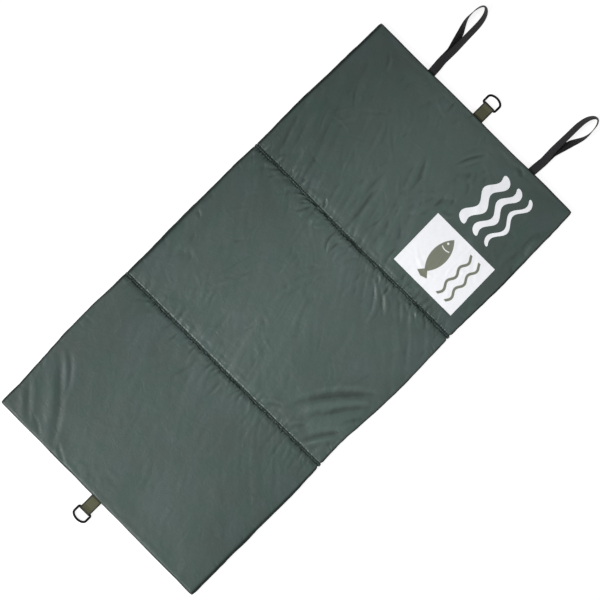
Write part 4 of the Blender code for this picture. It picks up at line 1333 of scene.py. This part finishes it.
# reach along the mat, spread towards its side, and how far the strap has turned over its length
handleRouteShares = [
    (0.0, 0.0, 0.0), (0.077, 0.032, 0.044), (0.192, 0.088, 0.144), (0.288, 0.056, 0.2),
    (0.372, 0.028, 0.233), (0.481, 0.028, 0.256), (0.609, 0.032, 0.272), (0.756, 0.036, 0.283),
    (0.853, 0.088, 0.306), (0.929, 0.208, 0.333), (0.981, 0.4, 0.361), (1.0, 0.6, 0.383),
    (0.99, 0.772, 0.411), (0.949, 0.912, 0.439), (0.885, 0.988, 0.472), (0.808, 1.0, 0.517),
    (0.756, 0.972, 0.567), (0.705, 0.896, 0.628), (0.641, 0.74, 0.7), (0.577, 0.568, 0.767),
    (0.532, 0.48, 0.778), (0.449, 0.332, 0.778), (0.346, 0.144, 0.789), (0.288, 0.108, 0.806),
    (0.192, 0.088, 0.856), (0.077, 0.032, 0.956), (0.0, 0.0, 1.0),
]
handles = [
    {"name": "handleLeft", "node": "handle_left", "side": 1, "spread": 0.025},
    {"name": "handleRight", "node": "handle_right", "side": -1, "spread": 0.0265},
]


def makeHandle(handle, values):
    # one strap: out of the seam, round the loop and back under itself; it turns over by half a turn on its
    # way and is lifted so that the lower edge of each section just clears the floor
    node, side = handle["node"], handle["side"]
    hinge = np.array(joints[node + "_swing"]["pos_m"])
    scale = [values["reach"], handle["spread"], math.pi]
    route = between(np.array(handleRouteShares) * scale, values["routeSteps"])
    lead = np.linspace(-values["into"], 0, values["routeSteps"])[:-1]
    out = np.stack([lead, lead * 0, lead * 0], -1)
    back = np.stack([lead[::-1], lead * 0, lead * 0 + math.pi], -1)
    route = np.concatenate([out, route, back])
    reach, swing, turn = route.T
    way = np.gradient(route[:, :2], axis=0)
    heading = np.arctan2(way[:, 1], way[:, 0])
    atRoot = reach < values["straight"]
    heading[atRoot] = np.where(turn[atRoot] > math.pi / 2, math.pi, 0.0)
    left = np.stack([-np.sin(heading), np.cos(heading), heading * 0], -1)
    up = np.array([0.0, 0.0, 1.0])
    widthWays = np.cos(turn)[:, None] * left + np.sin(turn)[:, None] * up
    layerWays = np.cos(turn)[:, None] * up - np.sin(turn)[:, None] * left
    halfLayers = (values["sheet"] + values["gap"]) / 2
    apart = halfLayers * (1 - smooth(reach / values["settle"] - 1))
    rest = values["width"] / 2 * np.sin(turn) + (values["sheet"] / 2 + apart) * np.abs(np.cos(turn))
    height = smooth(reach / values["settle"]) * (rest + values["floor"] - hinge[2])
    path = np.stack([reach, swing, height], -1) + apart[:, None] * layerWays
    both, lengths = evenly(np.concatenate([path, widthWays], 1), values["step"])
    flip = np.array([1.0, side, 1.0])
    path, widthWays = both[:, :3] * flip + hinge, both[:, 3:] * flip
    root = values["rootShade"] * np.exp(-((path[:, 0] - hinge[0]) / values["rootReach"]) ** 2)
    piece = sweepStrap(handle["name"], path, widthWays * side, lengths, root, values, blackWebbing)
    finishStrap(piece, node)


for handle in handles:
    makeHandle(handle, handleShape)
print("handles made")


# tabs and rings
tabShape = {
    "width": tabWidth, "sheet": 0.0012, "half": 0.00063, "flare": 0.0085, "eye": 0.0028, "hugShare": 0.7,
    "into": 0.0055, "step": 0.0004, "rib": 0.0018, "ribShare": 0.1, "around": 28, "eyeSteps": 30,
    "sideSteps": 8, "flat": (-0.002, 0.006), "beforeFlare": 0.004, "flareRise": 0.0001, "blendStart": 0.001,
    "blendEnd": 0.0055, "rootShade": 0.6, "rootReach": 0.0016, "barShade": 0.95, "barFrom": -0.0006,
    "barOver": 0.001, "flareShade": 0.1, "flareReach": 0.0014,
}
ringShape = {
    "wire": 0.0044, "width": 0.0338, "leg": 0.0132, "depth": 0.0242, "bend": 0.0028, "floor": 0.0001,
    "bendSteps": 12, "bowSteps": 60, "stepsAlong": 220, "stepsAround": 18,
}


def makeTab(end, facing, values):
    # webbing folded round the ring's bar: out along the upper layer, round the bar, back along the lower one
    hinge, bar = (np.array(joints[end + part]["pos_m"]) for part in ("_tab_swing", "_ring_swing"))
    length = abs(bar[0] - hinge[0])
    hug = math.pi * values["hugShare"]
    turn = np.linspace(hug, -hug, values["eyeSteps"])
    eye = np.stack([length + values["eye"] * np.cos(turn), values["eye"] * np.sin(turn)], -1)
    flareStart, half = length - values["flare"], values["half"]
    out = [(x, half) for x in (-values["into"], *values["flat"], flareStart - values["beforeFlare"])]
    out.append((flareStart, half + values["flareRise"]))
    back = [(x, -z) for x, z in out[::-1]]
    side = between(np.concatenate([out, eye, back]), values["sideSteps"])
    side, lengths = evenly(np.concatenate([side, side[:, :1] * 0], 1), values["step"])
    x, z = side[:, 0], side[:, 1]
    drop = (hinge[2] - bar[2]) * smooth(x / length)   # down to the bar by a smooth step, then level
    path = np.stack([hinge[0] + facing * x, x * 0 + hinge[1], hinge[2] + z - drop], -1)
    widthWays = np.tile([0.0, float(facing), 0.0], (len(path), 1))
    bent = values["rootShade"] * np.exp(-(x / values["rootReach"]) ** 2)
    bent += values["barShade"] * smooth((x - length - values["barFrom"]) / values["barOver"])
    bent += values["flareShade"] * np.exp(-((x - flareStart) / values["flareReach"]) ** 2)
    piece = sweepStrap(
        "ringTab" + end.capitalize(), path, widthWays, lengths, np.clip(bent, 0, 1), values, oliveWebbing)
    node = "ring_tab_" + end
    finishStrap(piece, node)


def makeRing(end, facing, values):
    # a D of round wire: the bar, two small bends, straight legs and a bow that is half an ellipse
    bar = np.array(joints[end + "_ring_swing"]["pos_m"])
    wireHalf = values["wire"] / 2
    half = values["width"] / 2 - wireHalf
    bend, leg = values["bend"], values["leg"]
    bow = values["depth"] - wireHalf - leg
    quarter = np.linspace(0, math.pi / 2, values["bendSteps"])
    lower = np.stack([bend - bend * np.cos(quarter), bend - half - bend * np.sin(quarter)], -1)
    sweep = np.linspace(-math.pi / 2, math.pi / 2, values["bowSteps"])
    outer = np.stack([leg + bow * np.cos(sweep), half * np.sin(sweep)], -1)
    upper = np.stack([bend - bend * np.sin(quarter), half - bend + bend * np.cos(quarter)], -1)
    course = np.concatenate([lower, outer, upper, lower[:1]])
    course = np.concatenate([course, course[:, :1] * 0], 1)
    lengths = lengthsOf(course)
    places = np.linspace(0, lengths[-1], values["stepsAlong"] + 1)[:-1]
    line = np.stack([np.interp(places, lengths, course[:, k]) for k in range(3)], -1)
    tangents = np.roll(line, -1, 0) - np.roll(line, 1, 0)
    tangents /= np.linalg.norm(tangents, axis=1, keepdims=True)
    sideWays = np.stack([tangents[:, 1], -tangents[:, 0], tangents[:, 0] * 0], -1)
    turn = np.arange(values["stepsAround"]) * 2 * math.pi / values["stepsAround"]
    up = np.array([0.0, 0.0, 1.0])
    points = line[:, None] + wireHalf * (
        np.cos(turn)[None, :, None] * sideWays[:, None] + np.sin(turn)[None, :, None] * up)
    # it leans on the floor, turned about its bar
    droop = math.asin((bar[2] - wireHalf - values["floor"]) / (values["depth"] - wireHalf))
    x, y, z = points[..., 0], points[..., 1], points[..., 2]
    turned = np.stack([
        x * math.cos(droop) + z * math.sin(droop), y, z * math.cos(droop) - x * math.sin(droop)], -1)
    faces = gridFaces(*points.shape[:2], closeRows=True, closeColumns=True)
    piece = newObject("ring" + end.capitalize(), turned * [facing, facing, 1.0] + bar, faces, blackWire)
    node = "d_ring_" + end
    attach(piece, node)
    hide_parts(node)


ends = (("head", 1), ("tail", -1))
for end, facing in ends:
    makeTab(end, facing, tabShape)
for end, facing in ends:
    makeRing(end, facing, ringShape)
print("tabs and rings made")


# print: a white patch with a plain fish over two waves, and three white waves beside it
printShape = {
    **patchPlace, "step": 0.00055, "film": 0.00014, "skew": 0.017, "margin": 0.012,
    "waveRows": (-0.178, -0.199), "waveLength": 0.034, "waveHeight": 0.0035, "waveWidth": 0.0052,
    "bandStart": 0.343, "bandEnd": 0.463, "bandRows": (-0.117, -0.150, -0.179),
    "bandWidths": (0.019, 0.014, 0.009), "bandLength": 0.06, "bandHeight": 0.0075, "bandSteps": (240, 26),
    "bandTip": 0.0001,
}
# the fish, from its middle: the tail starts at a share of the half length and widens by a slope
fishShape = {
    "place": (0.270, -0.132), "half": 0.040, "rise": 0.0165, "tail": 0.017, "tailFromShare": 0.86,
    "tailRoot": 0.002, "tailSlope": 0.85, "notchSlope": 0.35, "tailOverlap": 0.004,
    "eye": (0.027, 0.0035), "eyeRadius": 0.0021, "gillPlace": 0.032, "gillRadius": 0.0175, "gillHalf": 0.0009,
    "gillBefore": 0.02, "gillRise": 0.009,
}


def fishInk(x, y, values):
    # the body is where two equal circles overlap, the tail a wedge; an eye and a gill line are left white
    u, v = x - values["place"][0], y - values["place"][1]
    radius = (values["half"] ** 2 + values["rise"] ** 2) / (2 * values["rise"])
    offset = radius - values["rise"]
    body = radius - np.maximum(np.hypot(u, v - offset), np.hypot(u, v + offset))
    back = -values["half"] * values["tailFromShare"] - u
    wedge = values["tailRoot"] + values["tailSlope"] * back - np.abs(v)
    wedge = np.minimum(wedge, values["tail"] - back - values["notchSlope"] * np.abs(v))
    wedge = np.minimum(wedge, back + values["tailOverlap"])
    eye = np.hypot(u - values["eye"][0], v - values["eye"][1]) - values["eyeRadius"]
    gill = np.abs(np.hypot(u - values["gillPlace"], v) - values["gillRadius"]) - values["gillHalf"]
    gill = np.where((u < values["gillBefore"]) & (np.abs(v) < values["gillRise"]), gill, 1.0)
    return np.minimum(np.maximum(body, wedge), np.minimum(eye, gill))


def waveInk(x, y, row, length, height, width):
    # half the width less the distance from a sine line, divided by how much its slope lengthens it
    turn = 2 * math.pi * x / length
    slope = height * 2 * math.pi / length * np.cos(turn)
    return width / 2 - np.abs(y - row - height * np.sin(turn)) / np.sqrt(1 + slope * slope)


def makePatch(values):
    # the film lies a hair above the cover, at even steps, with a second ink where the drawing is
    (x0, y0), (x1, y1) = values["low"], values["high"]
    xs, ys = (
        np.linspace(start, end, int(round((end - start) / values["step"])) + 1)
        for start, end in ((x0, x1), (y0, y1)))
    x, y = np.meshgrid(xs, ys, indexing="ij")
    drawn = fishInk(x, y, fishShape)
    inset = (x > x0 + values["margin"]) & (x < x1 - values["margin"])
    for row in values["waveRows"]:
        line = waveInk(x, y, row, values["waveLength"], values["waveHeight"], values["waveWidth"])
        drawn = np.maximum(drawn, np.where(inset, line, -1.0))
    askew = y + values["skew"] * (x - x0)
    points = np.stack([x, askew, onCover("Head", x, askew) + values["film"]], -1)
    piece = newObject("printedPatch", points, gridFaces(*x.shape), ink)
    addAttribute(piece, "secondInk", np.clip(drawn / values["step"] + 0.5, 0, 1))
    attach(piece, "head_panel")


def makeBand(number, row, width, values):
    # a strip along a sine line, its ends rounded by the height of a circle
    start, end = values["bandStart"], values["bandEnd"]
    stepsAlong, stepsAcross = values["bandSteps"]
    x, v = np.meshgrid(np.linspace(start, end, stepsAlong), np.linspace(-1, 1, stepsAcross), indexing="ij")
    middle = row + values["bandHeight"] * np.sin(2 * math.pi * (x - start) / values["bandLength"])
    toEnd = np.clip(np.minimum(x - start, end - x) / (width / 2), 0, 1)
    blunt = np.sqrt(np.clip(1 - (1 - toEnd) ** 2, values["bandTip"], 1))
    y = middle + v * width / 2 * blunt
    points = np.stack([x, y, onCover("Head", x, y) + values["film"]], -1)
    piece = newObject("printedWave" + str(number), points, gridFaces(*x.shape), ink)
    addAttribute(piece, "secondInk", np.zeros(x.size))
    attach(piece, "head_panel")


makePatch(printShape)
for number, (row, width) in enumerate(zip(printShape["bandRows"], printShape["bandWidths"])):
    makeBand(number + 1, row, width, printShape)
print("print made")


# floor, light and world
studio = {
    "floorHalf": 8, "floorDrop": 0.0006, "floorGrey": 0.30, "floorGlow": 0.84, "world": 0.43,
    "keyPower": 590, "keyRadius": 0.55, "keyConeDeg": 30, "keyPlace": (-2.2, 0.95, 1.95),
    "keyAim": (-0.06, -0.075, 0), "fillPower": 14, "fillSize": 2.0, "fillPlace": (1.2, -2.4, 2.2),
}


def makeFloor(values):
    # it glows near white for the camera, in glossy reflections and through glass, and is matt grey else
    material, tree = newMaterial("white floor")
    grey = values["floorGrey"]
    rays = addNode(tree, "ShaderNodeLightPath")
    matt = addNode(tree, "ShaderNodeBsdfDiffuse", {"Color": (grey, grey, grey, 1)})
    glow = addNode(tree, "ShaderNodeEmission", {"Color": (1, 1, 1, 1), "Strength": values["floorGlow"]})
    seen = addNode(tree, "ShaderNodeAddShader", {0: matt.outputs[0], 1: glow.outputs[0]})
    glossy = addNode(tree, "ShaderNodeMath", {
        0: rays.outputs["Is Camera Ray"], 1: rays.outputs["Is Glossy Ray"]}, operation="MAXIMUM")
    shown = addNode(tree, "ShaderNodeMath", {
        0: glossy.outputs[0], 1: rays.outputs["Is Transmission Ray"]}, operation="MAXIMUM")
    mixed = addNode(tree, "ShaderNodeMixShader", {
        0: shown.outputs[0], 1: matt.outputs[0], 2: seen.outputs[0]})
    addNode(tree, "ShaderNodeOutputMaterial", {"Surface": mixed.outputs[0]})
    corners = np.array([[-1, -1], [1, -1], [1, 1], [-1, 1]]) * values["floorHalf"]
    corners = np.column_stack([corners, np.full(4, -values["floorDrop"])])
    newObject("floor", corners, np.array([[0, 1, 2, 3]]), material, False)


def makeWorld(values):
    world = bpy.data.worlds.new("studio")
    world.use_nodes = True
    tree = world.node_tree
    tree.nodes.clear()
    rays = addNode(tree, "ShaderNodeLightPath")
    strength = addNode(tree, "ShaderNodeMapRange", {
        "Value": rays.outputs["Is Camera Ray"], "To Min": values["world"], "To Max": 1.0})
    light = addNode(tree, "ShaderNodeBackground", {"Color": (1, 1, 1, 1), "Strength": strength.outputs[0]})
    addNode(tree, "ShaderNodeOutputWorld", {"Surface": light.outputs[0]})
    bpy.context.scene.world = world


def makeLamps(values):
    # the key is a soft spot aimed at the middle panel: both ends lie in less light, the head end in the least
    key = bpy.data.lights.new("key", "SPOT")
    key.energy, key.shadow_soft_size = values["keyPower"], values["keyRadius"]
    key.spot_size, key.spot_blend = math.radians(values["keyConeDeg"]), 1.0
    fill = bpy.data.lights.new("fill", "AREA")
    fill.energy, fill.size = values["fillPower"], values["fillSize"]
    for lamp, aim in ((key, values["keyAim"]), (fill, (0, 0, 0))):
        place = np.array(values[lamp.name + "Place"])
        back = (place - aim) / np.linalg.norm(place - aim)
        right = np.cross([0.0, 0.0, 1.0], back)
        right /= np.linalg.norm(right)
        columns = np.stack([right, np.cross(back, right), back, place], 1)
        lampObject = bpy.data.objects.new(lamp.name, lamp)
        bpy.context.scene.collection.objects.link(lampObject)
        lampObject.matrix_world = Matrix(np.vstack([columns, [0, 0, 0, 1]]).tolist())


makeFloor(studio)
makeWorld(studio)
makeLamps(studio)
bpy.context.scene.view_settings.view_transform = "Standard"
print("studio made")
